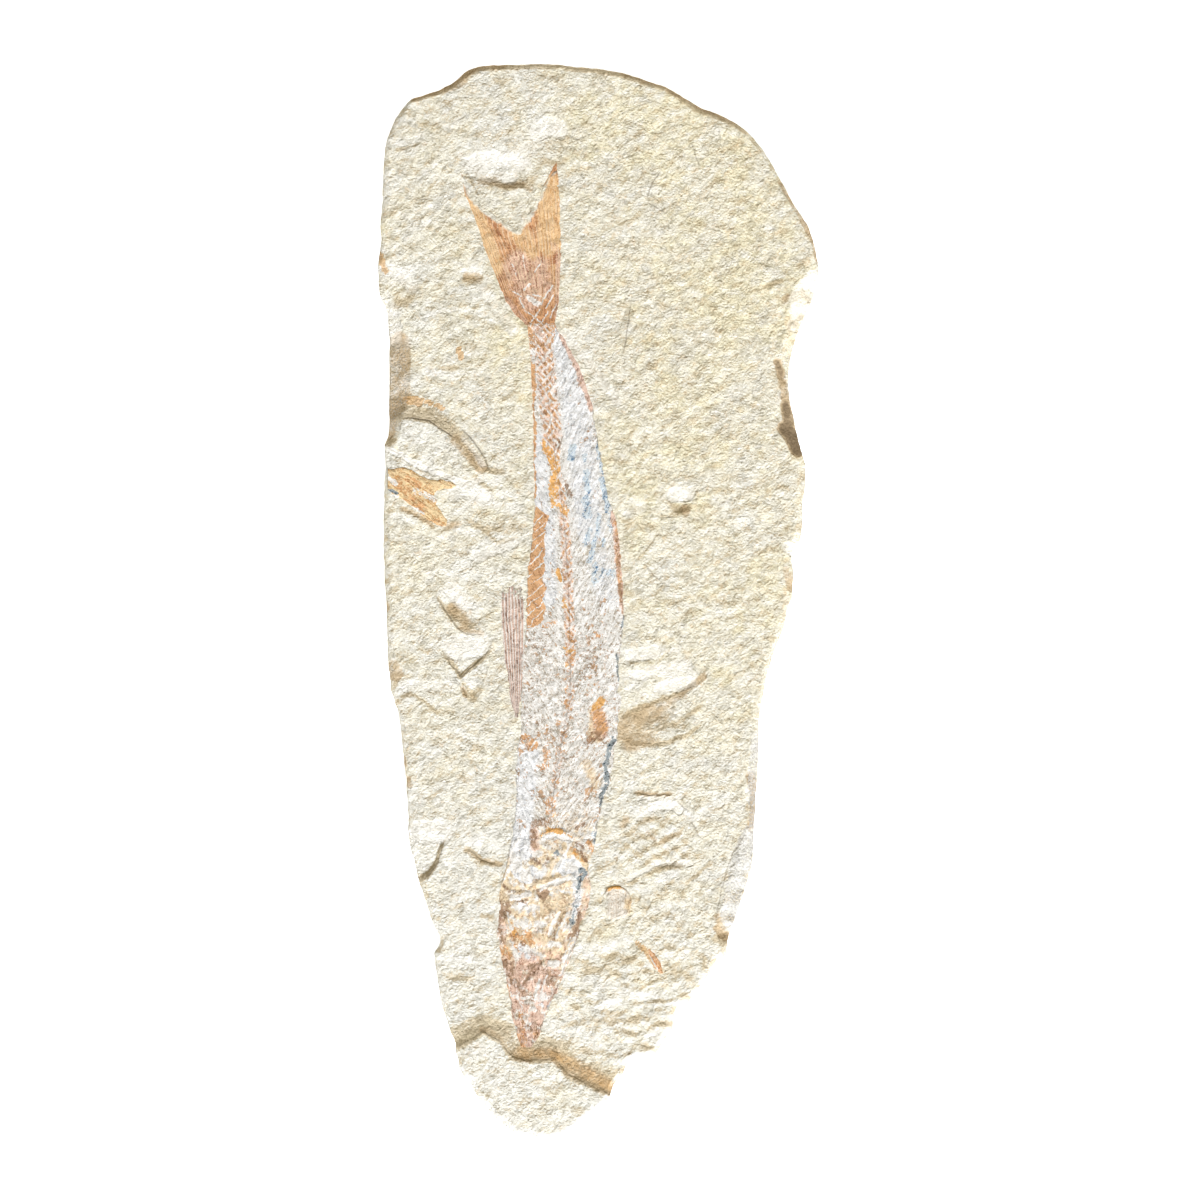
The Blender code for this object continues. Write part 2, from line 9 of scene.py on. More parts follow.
import bpy
import numpy as np
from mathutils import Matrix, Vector


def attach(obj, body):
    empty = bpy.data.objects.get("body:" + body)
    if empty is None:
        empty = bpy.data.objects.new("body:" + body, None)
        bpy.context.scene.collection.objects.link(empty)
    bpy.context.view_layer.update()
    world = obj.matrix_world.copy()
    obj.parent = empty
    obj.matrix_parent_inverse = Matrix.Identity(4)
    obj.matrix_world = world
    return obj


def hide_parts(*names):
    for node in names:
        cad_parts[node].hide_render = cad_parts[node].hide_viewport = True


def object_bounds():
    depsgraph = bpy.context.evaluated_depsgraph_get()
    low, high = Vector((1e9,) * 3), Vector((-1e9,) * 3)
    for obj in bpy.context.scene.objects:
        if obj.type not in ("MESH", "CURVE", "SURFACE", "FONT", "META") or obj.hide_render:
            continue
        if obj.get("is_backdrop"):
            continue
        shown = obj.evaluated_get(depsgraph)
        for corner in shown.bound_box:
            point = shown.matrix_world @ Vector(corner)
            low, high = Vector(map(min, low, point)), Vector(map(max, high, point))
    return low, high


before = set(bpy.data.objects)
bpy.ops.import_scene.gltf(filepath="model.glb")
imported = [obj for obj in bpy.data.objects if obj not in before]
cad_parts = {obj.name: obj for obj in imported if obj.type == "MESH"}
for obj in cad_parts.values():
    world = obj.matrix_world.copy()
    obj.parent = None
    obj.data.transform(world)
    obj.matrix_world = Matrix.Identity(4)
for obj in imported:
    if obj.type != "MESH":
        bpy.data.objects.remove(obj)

cad_low, cad_high = [list(corner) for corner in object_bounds()]
print("frame:", sorted(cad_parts), "box", cad_low, cad_high)

# %% [markdown]
# ## The survey grid
# Plan shapes are read off a survey grid laid over the face. Columns count to the right and rows count
# down from the tail end to the snout end, so that long outlines are short lists of whole numbers. One
# step is the slab's length over its 1075 rows. Heights are metres.

# %% Survey grid
MM = 0.001
SLAB_LENGTH = 200 * MM
SURVEY_ROWS = 1075
STEP = SLAB_LENGTH / SURVEY_ROWS
MID_COLUMN = 599
MID_ROW = 600.5
FACE_LEVEL = 10.0 * MM
BED_LEVEL = 9.6 * MM


def to_plan(spots):
    """Survey columns and rows to x and y in metres: x = (column - middle) step, y = (middle - row) step."""
    return np.column_stack([spots[:, 0] - MID_COLUMN, MID_ROW - spots[:, 1]]) * STEP


print(f"one survey step is {STEP / MM:.4f} mm")

# %% [markdown]
# ## Numbers that look natural
# Broken stone is uneven at every size. `hills` makes smooth random ground: it puts a random height on
# each corner of a square lattice and blends between the corners with a curve that is flat at both ends.
# Adding it to itself at half the size and half the height, a few times over, gives rock-like ground.

# %% Random ground
LATTICE = 128                              # the lattice starts again after so many corners
FIRST_TURN, TURN_PER_LAYER = 0.6, 1.1      # each layer's lattice is turned, in radians


def hills(spots, size, seed, layers=1):
    """Random heights from -1 to 1: corner values on a lattice of `size` steps, blended by 3t^2 - 2t^3."""
    total, weight, sum_of_weights = np.zeros(len(spots)), 1.0, 0.0
    for layer in range(layers):
        table = np.random.default_rng(seed + layer).uniform(-1, 1, (LATTICE, LATTICE))
        turn = FIRST_TURN + TURN_PER_LAYER * layer
        x = (spots[:, 0] * np.cos(turn) - spots[:, 1] * np.sin(turn)) / size
        y = (spots[:, 0] * np.sin(turn) + spots[:, 1] * np.cos(turn)) / size
        left, low = np.floor(x).astype(int), np.floor(y).astype(int)
        u, v = smooth(x - left), smooth(y - low)
        corner = lambda dx, dy: table[(left + dx) % LATTICE, (low + dy) % LATTICE]
        near = corner(0, 0) * (1 - u) + corner(1, 0) * u
        far = corner(0, 1) * (1 - u) + corner(1, 1) * u
        total += weight * (near * (1 - v) + far * v)
        sum_of_weights += weight
        weight *= 0.5
        size *= 0.5
    return total / sum_of_weights


def smooth(share):
    """The soft step 3t^2 - 2t^3, held at 0 below 0 and at 1 above 1."""
    share = np.clip(share, 0, 1)
    return share * share * (3 - 2 * share)


def warped(spots, amount, size, seed):
    """Each spot pushed sideways by random ground, so that drawn lines come out uneven."""
    return spots + amount * np.column_stack([hills(spots, size, seed, 2), hills(spots, size, seed + 9, 2)])


print("random ground every five steps:", hills(np.array([[0, 0], [5, 0], [10, 0]]), 10, 1).round(2))

# %% [markdown]
# ## Distance to a line
# Ledges, bones, stains and painted shade all follow drawn lines, and what they do depends on how far a spot
# is from the line, where along it, and on which side. One helper measures all three.

# %% Distance to a line
FAR = 1e6
BATCH = 6000               # so many spots are measured at a time, to save memory


def from_line(spots, line, reach=FAR, closed=False):
    """Distance to the nearest spot of a line, its share of the way along, and +1 on the line's upper side.

    A line is a list of points, or flat: column, row, column, row and so on.
    Nearest spot on a piece from a to b: a + t (b - a), t = (p - a).(b - a) / |b - a|^2 held to 0..1.
    """
    line = np.reshape(np.asarray(line, dtype=float), (-1, 2))
    ends = np.roll(line, -1, axis=0) if closed else line[1:]
    starts = line if closed else line[:-1]
    run = ends - starts
    distance = np.full(len(spots), FAR)
    place, side = np.zeros(len(spots)), np.ones(len(spots))
    low, high = line.min(0) - reach, line.max(0) + reach
    close = np.flatnonzero(((spots > low) & (spots < high)).all(axis=1))
    for part in np.array_split(close, len(close) // BATCH + 1):
        offset = spots[part, None] - starts
        share = np.clip((offset * run).sum(2) / (run ** 2).sum(1), 0, 1)
        away = offset - share[:, :, None] * run
        lengths = np.hypot(away[:, :, 0], away[:, :, 1])
        best = lengths.argmin(axis=1)
        rows = np.arange(len(part))
        distance[part] = lengths[rows, best]
        place[part] = (best + share[rows, best]) / len(run)
        turn = run[best, 0] * offset[rows, best, 1] - run[best, 1] * offset[rows, best, 0]
        side[part] = np.where(turn > 0, -1.0, 1.0)
    return distance, place, side


def inside(spots, outline):
    """True for spots inside a closed outline: a ray from them crosses it an odd number of times."""
    line = np.asarray(outline, dtype=float)
    start, end = line, np.roll(line, -1, axis=0)
    found = np.zeros(len(spots), dtype=bool)
    low, high = line.min(0), line.max(0)
    close = np.flatnonzero(((spots > low) & (spots < high)).all(axis=1))
    x, y = spots[close, 0, None], spots[close, 1, None]
    spans = (start[:, 1] > y) != (end[:, 1] > y)
    rise = np.where(end[:, 1] == start[:, 1], 1.0, end[:, 1] - start[:, 1])
    crossing = start[:, 0] + (y - start[:, 1]) / rise * (end[:, 0] - start[:, 0])
    found[close] = (spans & (x < crossing)).sum(1) % 2 == 1
    return found


def depth_inside(spots, outline, reach=40):
    """Distance to a closed outline, positive inside it and negative outside."""
    distance = np.minimum(from_line(spots, outline, reach, closed=True)[0], reach)
    return np.where(inside(spots, outline), distance, -distance)


print("depth in a square:", depth_inside(np.array([[3.0, 4.0]]), [(0, 0), (8, 0), (8, 8), (0, 8)]))

# %% [markdown]
# ## The outline of the slab
# The slab was broken to shape, so its plan is a run of short bays and corners. The third number of each
# corner is the width of the rim there: the strip where the face has chipped away towards the side.

# %% Outline of the slab
OUTLINE = [
    (411, 99, 3), (440, 89, 4), (455, 80, 5), (467, 70, 5), (480, 65, 4), (500, 64, 3), (545, 63, 3),
    (600, 68, 3), (625, 73, 4), (645, 79, 4), (665, 86, 4), (685, 97, 5), (700, 107, 6), (720, 114, 5),
    (738, 123, 4), (752, 135, 4), (765, 152, 4), (780, 178, 4), (790, 197, 4), (803, 217, 6), (810, 226, 7),
    (818, 258, 6), (820, 270, 9), (818, 285, 16), (808, 310, 18), (797, 335, 13), (790, 360, 10),
    (789, 380, 11), (790, 400, 11), (795, 420, 14), (799, 440, 12), (803, 453, 9), (806, 465, 9),
    (806, 488, 8), (803, 500, 7), (803, 525, 7), (801, 540, 7), (793, 548, 6), (792, 560, 7), (794, 575, 9),
    (793, 598, 8), (787, 610, 5), (785, 625, 4), (779, 640, 4), (772, 660, 4), (766, 680, 4), (762, 700, 4),
    (759, 725, 5), (759, 745, 7), (758, 775, 11), (756, 805, 10), (754, 825, 6), (754, 850, 13),
    (752, 870, 17), (742, 900, 17), (736, 918, 17), (729, 937, 13), (728, 945, 5), (726, 957, 4),
    (717, 960, 4), (710, 975, 4), (703, 983, 4), (688, 1004, 4), (676, 1007, 4), (673, 1028, 5),
    (664, 1043, 5), (655, 1056, 5), (633, 1059, 5), (627, 1062, 5), (624, 1074, 5), (613, 1085, 4),
    (611, 1094, 4), (607, 1101, 5), (594, 1113, 5), (579, 1125, 5), (565, 1134, 5), (552, 1138, 5),
    (536, 1138, 5), (521, 1135, 5), (507, 1128, 5), (497, 1119, 5), (485, 1106, 5), (475, 1093, 5),
    (470, 1082, 5), (464, 1077, 4), (459, 1067, 4), (458, 1057, 4), (455, 1050, 4), (456, 1043, 4),
    (450, 1032, 4), (447, 1021, 4), (441, 1004, 4), (438, 985, 4), (433, 953, 4), (439, 945, 4),
    (440, 939, 4), (436, 931, 4), (427, 907, 4), (419, 882, 7), (410, 850, 9), (408, 830, 6), (408, 805, 4),
    (406, 785, 4), (402, 745, 4), (400, 722, 4), (397, 710, 4), (390, 690, 6), (388, 665, 8), (387, 640, 5),
    (386, 610, 4), (384, 570, 4), (383, 540, 4), (383, 510, 4), (384, 480, 4), (386, 465, 4), (384, 445, 5),
    (388, 437, 10), (389, 425, 14), (388, 385, 19), (389, 345, 19), (387, 310, 9), (380, 298, 8),
    (378, 285, 8), (378, 262, 6), (381, 240, 4), (380, 222, 4), (382, 200, 4), (383, 175, 4), (384, 150, 4),
    (388, 135, 4), (394, 120, 4), (402, 108, 4),
]
CORNERS = [(411, 99), (752, 135), (655, 1056), (464, 1077)]   # upper left, then clockwise
COLUMNS, ROWS = 171, 414                                      # cells across and along the slab
RELAX_STEPS = 40           # each one moves every inner spot to the middle of its four neighbours
BAYS, CHIPS = 0.8, 0.6     # sizes of the random bays and chips of the edge, in steps


def resampled(line, count):
    """`count` + 1 points evenly spaced along a line."""
    line = np.asarray(line, dtype=float)
    length = np.concatenate([[0], np.cumsum(np.hypot(*np.diff(line, axis=0).T))])
    shares = np.linspace(0, length[-1], count + 1)
    return np.column_stack([np.interp(shares, length, line[:, axis]) for axis in (0, 1)])


def ring_average(values, reach):
    """Values around a closed ring, each replaced by a weighted mean of its neighbours."""
    weights = np.exp(-0.5 * (np.arange(-3 * reach, 3 * reach + 1) / reach) ** 2)
    turned = [np.roll(values, shift, axis=0) for shift in range(-3 * reach, 3 * reach + 1)]
    return np.tensordot(weights / weights.sum(), np.array(turned), axes=1)


def inward_of(ring):
    """Unit vectors from a clockwise ring (rows counting down) into the shape it encloses."""
    ahead = np.roll(ring, -1, axis=0) - np.roll(ring, 1, axis=0)
    ahead = ring_average(ahead, 2)
    ahead /= np.hypot(*ahead.T)[:, None]
    return np.column_stack([-ahead[:, 1], ahead[:, 0]])


def broken_edge():
    """The outline as one even ring, starting at the upper left and going clockwise, with small chips."""
    plain = [corner[:2] for corner in OUTLINE]
    firsts = [plain.index(corner) for corner in CORNERS] + [len(plain)]
    plain.append(plain[0])
    sections = [resampled(plain[start:end + 1], count)[:-1]
                for start, end, count in zip(firsts, firsts[1:], (COLUMNS, ROWS, COLUMNS, ROWS))]
    ring = ring_average(np.vstack(sections), 1)
    chips = BAYS * hills(ring, 15, 21, 3) + CHIPS * np.abs(hills(ring, 5, 25))
    return ring + inward_of(ring) * chips[:, None]


def stretched(top, right, low, left):
    """A grid between four border lines (a Coons patch), from the low border to the top one.

    Place = blend of left and right + blend of low and top - blend of the four corners.
    """
    u = np.linspace(0, 1, len(top))[None, :, None]
    v = np.linspace(0, 1, len(left))[:, None, None]
    corners = (1 - u) * (1 - v) * low[0] + u * (1 - v) * low[-1] + (1 - u) * v * top[0] + u * v * top[-1]
    return (1 - u) * left[:, None] + u * right[:, None] + (1 - v) * low[None] + v * top[None] - corners


def between(ring, columns, rows):
    """The grid inside a ring that starts at the upper left and goes clockwise."""
    turns = np.cumsum([0, columns, rows, columns, rows])
    closed = np.vstack([ring, ring[:1]])
    top, right, low, left = [closed[start:end + 1] for start, end in zip(turns, turns[1:])]
    return stretched(top, right[::-1], low[::-1], left)


edge = broken_edge()
ground = between(edge, COLUMNS, ROWS)
for _ in range(RELAX_STEPS):
    sideways = ground[1:-1, :-2] + ground[1:-1, 2:]
    ground[1:-1, 1:-1] = (sideways + ground[:-2, 1:-1] + ground[2:, 1:-1]) / 4
print("edge points:", len(edge), "face grid:", ground.shape[:2])

# %% [markdown]
# ## Ledges, scoops and scars
# The scraped ground keeps the marks of its making. Where the upper bedding layer was left, at the snout
# end and at the left edge, it stands as a low cliff with a hollow, worn foot. Scoops are rounded bowls.
# A scar is what a chisel leaves: the ground slopes down to a line and steps up sharply behind it.

# %% Ledges and scoops
TIP_RISE, ARC_RISE = 1.6 * MM, 1.0 * MM
TIP_RIM = [
    (440, 1054), (458, 1045), (466, 1042), (475, 1037), (483, 1031), (490, 1036), (500, 1040), (506, 1050),
    (515, 1058), (530, 1060), (545, 1060), (555, 1058), (562, 1066), (568, 1074), (580, 1080), (590, 1085),
    (600, 1089), (612, 1094), (640, 1098),
]
TIP_FOOT = (18, 30)
ARC_RIM = [
    (380, 418), (400, 417), (413, 418), (430, 421), (437, 426), (450, 434), (463, 447), (475, 460),
    (484, 472),
]
ARC_FOOT = (20, 9)
ARC_REACH = 110            # behind its rim the left layer thins out over so many steps
ARC_END, ARC_FADE = 517, 60
FOOT_SHARE = 0.86          # height of a foot right at its rim, as a share of the rise

# Scoops: column, row, half length, half width, turn in degrees, depth
SCOOPS = [
    (550, 141, 24, 26, -10, 0.45 * MM), (496, 172, 40, 20, 4, 0.5 * MM), (656, 702, 52, 40, -30, 0.85 * MM),
    (460, 610, 30, 13, 42, 0.55 * MM), (472, 689, 12, 11, 20, 0.5 * MM), (495, 512, 34, 22, 20, 0.6 * MM),
    (680, 502, 15, 12, 0, 0.75 * MM), (660, 838, 44, 36, 0, 0.5 * MM), (400, 284, 20, 18, 20, 0.6 * MM),
    (632, 1008, 34, 16, -10, 0.6 * MM), (610, 956, 34, 14, -20, 0.5 * MM), (460, 968, 22, 12, 10, 0.4 * MM),
    (472, 274, 13, 8, 0, 0.45 * MM), (636, 516, 18, 16, -10, 0.35 * MM), (486, 850, 24, 14, 14, 0.35 * MM),
]

# Crossing ribs pressed into a round patch: turn in degrees, distance between ribs, depth in mm
RIB_CENTRE, RIB_REACH = (656, 848), (44, 36)
RIBS = [(38, 9.5, 0.18), (-30, 12.5, 0.17), (42, 4.4, 0.11), (-24, 5.2, 0.08)]


def cliff(spots, rim, foot, rise):
    """An upper layer: full rise beyond its rim, and 0.86 rise (1 - d / foot)^1.5 across its worn foot."""
    spots = warped(spots, 1.2, 9, 31)
    distance, place, _ = from_line(spots, rim, 40)
    rim = np.asarray(rim, dtype=float)
    beyond = spots[:, 1] > np.interp(spots[:, 0], rim[:, 0], rim[:, 1])
    ramp = np.clip(1 - distance / (foot[0] + (foot[1] - foot[0]) * place), 0, 1) ** 1.5
    return rise * np.where(beyond, 1.0, FOOT_SHARE * ramp)


def scoops(spots):
    """Rounded bowls: depth (1 - r^2) inside turned ellipses with uneven borders."""
    depth = np.zeros(len(spots))
    uneven = warped(spots, 4.0, 14, 41)
    for column, row, length, width, turn, deep in SCOOPS:
        lean = np.radians(turn)
        x, y = (uneven - (column, row)).T
        along = (x * np.cos(lean) + y * np.sin(lean)) / length
        across = (y * np.cos(lean) - x * np.sin(lean)) / width
        depth += deep * np.clip(1 - along ** 2 - across ** 2, 0, 1)
    return depth


def pressed_ribs(spots):
    """Crossing ribs: the sum of pleats |2 (s - floor s) - 1| across each direction, in a round patch."""
    x, y = (warped(spots, 1.8, 13, 65) - RIB_CENTRE).T
    pleats = np.zeros(len(spots))
    for turn, apart, deep in RIBS:
        lean = np.radians(turn)
        share = (y * np.cos(lean) - x * np.sin(lean)) / apart
        pleats += deep * np.abs(2 * (share % 1) - 1)
    return pleats * smooth((1 - np.hypot(x / RIB_REACH[0], y / RIB_REACH[1])) / 0.4) * MM


print(f"{len(SCOOPS)} scoops, the deepest {max(scoop[-1] for scoop in SCOOPS) / MM:.2f} mm")

# %% Scars
# Scars: line from left to right, reach above, sink, reach below, rise (reaches in steps, rest in mm)
SCARS = [
    # around the tail fin and above it
    ((480, 182, 490, 181, 500, 184, 508, 188, 520, 184, 530, 188), 30, 0.36, 10, 0.20),
    ((462, 177, 468, 178, 474, 188, 480, 198), 8, 0.12, 5, 0.16),
    ((470, 218, 490, 224, 512, 232, 520, 228), 12, 0.16, 6, 0.10),
    ((395, 150, 402, 149, 420, 144), 14, 0.14, 10, 0.10),
    ((762, 287, 772, 284, 786, 278), 16, 0.22, 10, 0.16),
    ((782, 303, 788, 298, 790, 291), 6, 0.16, 6, 0.12),
    # the left side, down to the flake
    ((427, 362, 437, 367, 455, 368, 466, 365, 475, 358), 12, 0.14, 8, 0.12),
    ((420, 326, 430, 313, 455, 309, 480, 313, 500, 324, 520, 345), 9, -0.10, 12, -0.16),
    ((502, 400, 512, 395, 526, 384), 12, 0.14, 8, 0.08),
    ((384, 447, 400, 455, 415, 464, 432, 472, 448, 478, 466, 484), 5, -0.10, 9, -0.16),
    ((470, 473, 484, 487, 500, 500, 516, 498), 18, 0.24, 14, 0.16),
    ((470, 522, 482, 530, 497, 543, 520, 536), 16, 0.20, 14, 0.16),
    ((440, 516, 450, 520, 462, 516), 10, 0.14, 6, 0.10),
    ((384, 512, 400, 510, 412, 514, 425, 523, 440, 531, 450, 526), 5, 0.05, 10, 0.14),
    # chips on the left
    ((434, 592, 442, 606, 452, 620, 460, 630, 467, 634, 482, 635), 6, 0.10, 9, 0.18),
    ((446, 604, 456, 610, 464, 618, 470, 629), 14, 0.22, 4, 0.06),
    ((441, 650, 450, 663, 457, 671, 461, 678, 469, 669, 480, 661, 491, 651), 30, 0.55, 6, 0.20),
    ((461, 688, 464, 695, 470, 700, 478, 699), 12, 0.10, 5, 0.16),
    ((398, 698, 410, 695, 425, 701, 432, 709, 441, 718), 18, 0.26, 8, 0.12),
    ((417, 882, 429, 874, 437, 863, 440, 850, 445, 836), 36, 0.75, 7, 0.22),
    ((464, 849, 473, 852, 481, 860, 492, 864, 506, 864), 16, 0.30, 9, 0.18),
    ((478, 916, 490, 918, 500, 912), 12, 0.20, 8, 0.14),
    # the right side
    ((658, 518, 672, 515, 684, 513), 6, 0.06, 5, 0.14),
    ((640, 556, 645, 552, 651, 544, 660, 530), 7, 0.14, 5, 0.06),
    ((648, 594, 656, 593, 668, 584), 10, 0.14, 6, 0.10),
    ((622, 660, 640, 664, 660, 660, 668, 652), 14, 0.20, 6, 0.06),
    ((620, 684, 636, 680, 650, 684), 10, 0.14, 5, 0.05),
    ((616, 719, 632, 712, 655, 702, 672, 697, 686, 689, 702, 678), 34, 0.22, 20, 0.18),
    ((655, 729, 668, 725, 683, 719, 694, 711, 703, 703), 14, 0.14, 10, 0.14),
    ((618, 742, 636, 743, 655, 746, 672, 741, 690, 733, 704, 722), 14, 0.18, 9, 0.20),
    # the round impression
    ((633, 792, 645, 795, 660, 796, 675, 794), 7, 0.02, 9, 0.20),
    ((622, 836, 634, 822, 648, 811, 662, 803, 676, 803, 690, 815, 700, 832), 7, -0.10, 9, -0.14),
    ((660, 844, 672, 836, 684, 831), 10, 0.16, 8, 0.12),
    ((625, 886, 640, 879, 655, 871, 672, 867, 690, 868), 10, 0.14, 14, 0.20),
    ((680, 884, 696, 877, 710, 862), 10, 0.12, 10, 0.14),
    # the rough ground beside the snout
    ((664, 946, 675, 950, 690, 947), 10, 0.12, 10, 0.14),
    ((590, 950, 606, 957, 622, 954), 12, 0.16, 10, 0.14),
    ((606, 968, 622, 975, 640, 972, 652, 968), 10, 0.16, 9, 0.14),
    ((622, 985, 640, 990, 655, 980, 668, 976), 10, 0.16, 9, 0.14),
    ((580, 1000, 596, 1003, 610, 996), 10, 0.14, 8, 0.12),
    ((636, 1003, 652, 1002, 672, 1000, 690, 992), 11, 0.18, 8, 0.14),
    ((606, 1013, 618, 1014, 630, 1009), 10, 0.18, 8, 0.14),
    ((620, 1030, 636, 1035, 652, 1026, 668, 1022), 11, 0.18, 8, 0.14),
    ((606, 1058, 618, 1056, 634, 1052), 9, 0.14, 8, 0.12),
    # the right rim
    ((776, 362, 780, 375, 786, 381), 2, -0.05, 12, -0.35),
]
STEP_WIDTH = 1.3           # half the width of a scar's sharp step
SWELL, RIPPLE = 0.16, 0.10 # heights of the two gentle swells of the whole face, in mm


def scars(spots):
    """Slopes down to each line, sink (1 - d / reach)^1.5, and a rise behind it, both dying at its ends."""
    change = np.zeros(len(spots))
    uneven = warped(spots, 1.6, 8, 33)
    for line, above, sink, below, rise in SCARS:
        distance, place, side = from_line(uneven, line, max(above, below) + 2)
        across = side * distance
        sloping = -sink * np.clip(1 - across / above, 0, 1) ** 1.5
        rising = rise * np.clip(1 + across / below, 0, 1) ** 1.5
        share = smooth((across + STEP_WIDTH) / (2 * STEP_WIDTH))
        ends = smooth(np.minimum(place, 1 - place) / 0.16 + 0.1)
        change += (share * sloping + (1 - share) * rising) * ends * MM
    return change


def bare_ground(spots):
    """Height of the face before it is scraped and its rim is broken off: level + swells + two cliffs."""
    x, y = to_plan(spots).T / MM
    swell = SWELL * np.sin(x / 13 + 0.6) * np.cos(y / 21 - 0.4) + RIPPLE * np.sin((x + 0.6 * y) / 9.5)
    thinning = np.clip(1 - from_line(spots, ARC_RIM)[0] / ARC_REACH, 0, 1)
    thinning *= np.clip((ARC_END - spots[:, 0]) / ARC_FADE, 0, 1)
    arc = cliff(spots, ARC_RIM, ARC_FOOT, ARC_RISE) * thinning
    return FACE_LEVEL + swell * MM + cliff(spots, TIP_RIM, TIP_FOOT, TIP_RISE) + arc


flat_spots = ground.reshape(-1, 2)
height = bare_ground(flat_spots)
print(f"bare ground from {height.min() / MM:.2f} to {height.max() / MM:.2f} mm, {len(SCARS)} scars")

# %% [markdown]
# ## Where the fossils lie
# The fossils are bone and shell grown into the stone. Their plans come first, because the stone has to
# sink a little under each of them, and no scoop may undercut one.

# %% Plans of the fossils
BODY_LEFT = [
    (527, 322), (530, 370), (532, 400), (533, 470), (534, 505), (531, 540), (526, 580), (525, 628),
    (521, 660), (520, 720), (517, 745), (515, 780), (513, 835), (503, 870), (499, 890), (496, 930),
    (500, 960), (505, 985), (510, 1005), (515, 1030), (521, 1048),
]
BODY_RIGHT = [
    (554, 322), (566, 340), (580, 365), (594, 406), (600, 445), (609, 500), (616, 515), (620, 540),
    (622, 565), (624, 600), (625, 618), (620, 660), (620, 700), (619, 735), (615, 755), (611, 775),
    (602, 815), (597, 840), (589, 870), (592, 890), (590, 905), (584, 922), (578, 938), (574, 951),
    (568, 965), (563, 978), (558, 990), (549, 1010), (541, 1030), (533, 1048),
]
BACKBONE = [
    (540, 322), (545, 360), (548, 400), (553, 440), (560, 490), (565, 530), (568, 580), (570, 640),
    (570, 700), (562, 740), (555, 780), (550, 826), (543, 880), (536, 960), (527, 1048),
]
TAIL_LEFT = [(526, 326), (515, 315), (505, 300), (495, 275), (485, 250), (475, 220), (466, 195), (463, 180)]
TAIL_RIGHT = [(555, 326), (559, 300), (561, 270), (561, 240), (560, 200), (558, 170)]
TAIL_HIND = [
    (463, 180), (471, 195), (481, 208), (498, 219), (510, 227), (518, 231), (530, 215), (541, 195),
    (549, 178), (558, 170),
]
FIN_LEFT = [(500, 586), (501, 630), (504, 662), (509, 695), (514, 718)]
FIN_RIGHT = [(524, 584), (525, 620), (525, 665), (523, 690), (519, 718)]
FLAKE = [
    (384, 470), (397, 467), (405, 467), (413, 471), (423, 476), (433, 479), (444, 479), (452, 481),
    (457, 485), (452, 490), (443, 490), (437, 492), (434, 496), (438, 500), (437, 504), (442, 512),
    (448, 520), (447, 526), (442, 528), (437, 526), (428, 520), (420, 515), (410, 506), (400, 499),
    (394, 497), (388, 490), (384, 489),
]
SPLINTER = [(645, 946), (655, 952), (662, 963), (665, 974), (660, 975), (652, 964)]
DISC_CENTRE, DISC_RADII = (616, 903), (16, 18)


def ellipse(centre, radii):
    """24 points around an upright ellipse: centre + (a cos t, b sin t)."""
    angle = np.linspace(0, 2 * np.pi, 24, endpoint=False)
    return np.column_stack([centre[0] + radii[0] * np.cos(angle), centre[1] + radii[1] * np.sin(angle)])


FOSSILS = [
    BODY_LEFT + BODY_RIGHT[::-1], TAIL_LEFT + TAIL_HIND[1:-1] + TAIL_RIGHT[::-1],
    FIN_LEFT + FIN_RIGHT[::-1], FLAKE, SPLINTER, ellipse(DISC_CENTRE, DISC_RADII),
]


def depth_in_fossils(spots):
    """How deep a spot lies inside the nearest fossil's plan, in steps; negative outside all of them."""
    return np.max([depth_inside(spots, outline, 12) for outline in FOSSILS], axis=0)


fossil_depth = depth_in_fossils(flat_spots)
print(f"{len(FOSSILS)} fossil plans over {(fossil_depth > 0).mean():.0%} of the face's points")

# %% [markdown]
# ## Stains and painted shade, chalk and painted highlights, cracks and creases
# Broken faces that lay open for long are stained tan to brown, and freshly dug ones are chalk white. Here
# most of the tan and brown is painted shade, on slopes, pits, rim facets and creases that face away from
# the key lamp, and most of the white is painted highlight on slopes and facets that face it. The dark fine
# lines are cracks, and painted shade along ledge rims and chip creases. Stains and chalk, with the painted
# shade and highlights among them, are painted with strokes: a line with a half width, a soft border and a
# strength.
# Painting returns one number for each spot, which is stored on the mesh and read by the material. Nothing
# coloured is raised.

# %% Painting strokes
# A stroke is its line, its half width, the width of its soft border, and its strength.
def painted(spots, strokes, fray=1.0):
    """Strength of the strongest stroke at each spot: full to its half width, then fading over its border.

    `fray` widens the border to both sides of where it was drawn.
    """
    total = np.zeros(len(spots))
    for line, half_width, border, strength in strokes:
        half_width, border = half_width - border * (fray - 1) / 2, border * fray
        distance = from_line(spots, line, half_width + border)[0]
        total = np.maximum(total, strength * smooth((half_width + border - distance) / border))
    return total


WORN = [
    ((452, 1034, 470, 1030, 484, 1026, 498, 1034, 512, 1046, 545, 1051, 562, 1056, 580, 1068, 600, 1078,
      614, 1086), 8, 6, 1), ((404, 411, 430, 413, 450, 424, 466, 440, 480, 458), 6, 4, 0.8),
    ((455, 648, 478, 645), 12, 6, 0.8), ((425, 836, 424, 866), 12, 6, 0.8),
    ((672, 686, 690, 683), 6, 6, 0.6), ((452, 608, 466, 620), 7, 4, 0.7), ((800, 300, 812, 288), 8, 6, 0.5),
    ((676, 494, 686, 503), 8, 5, 0.6), ((542, 132, 556, 127), 9, 9, 0.9),
    ((478, 166, 520, 167), 7, 9, 0.75), ((400, 344, 400, 398, 394, 430), 11, 3, 1),
    ((636, 726, 652, 716), 8, 10, 0.5), ((779, 364, 787, 405, 791, 428, 797, 448), 5, 4, 0.8),
]
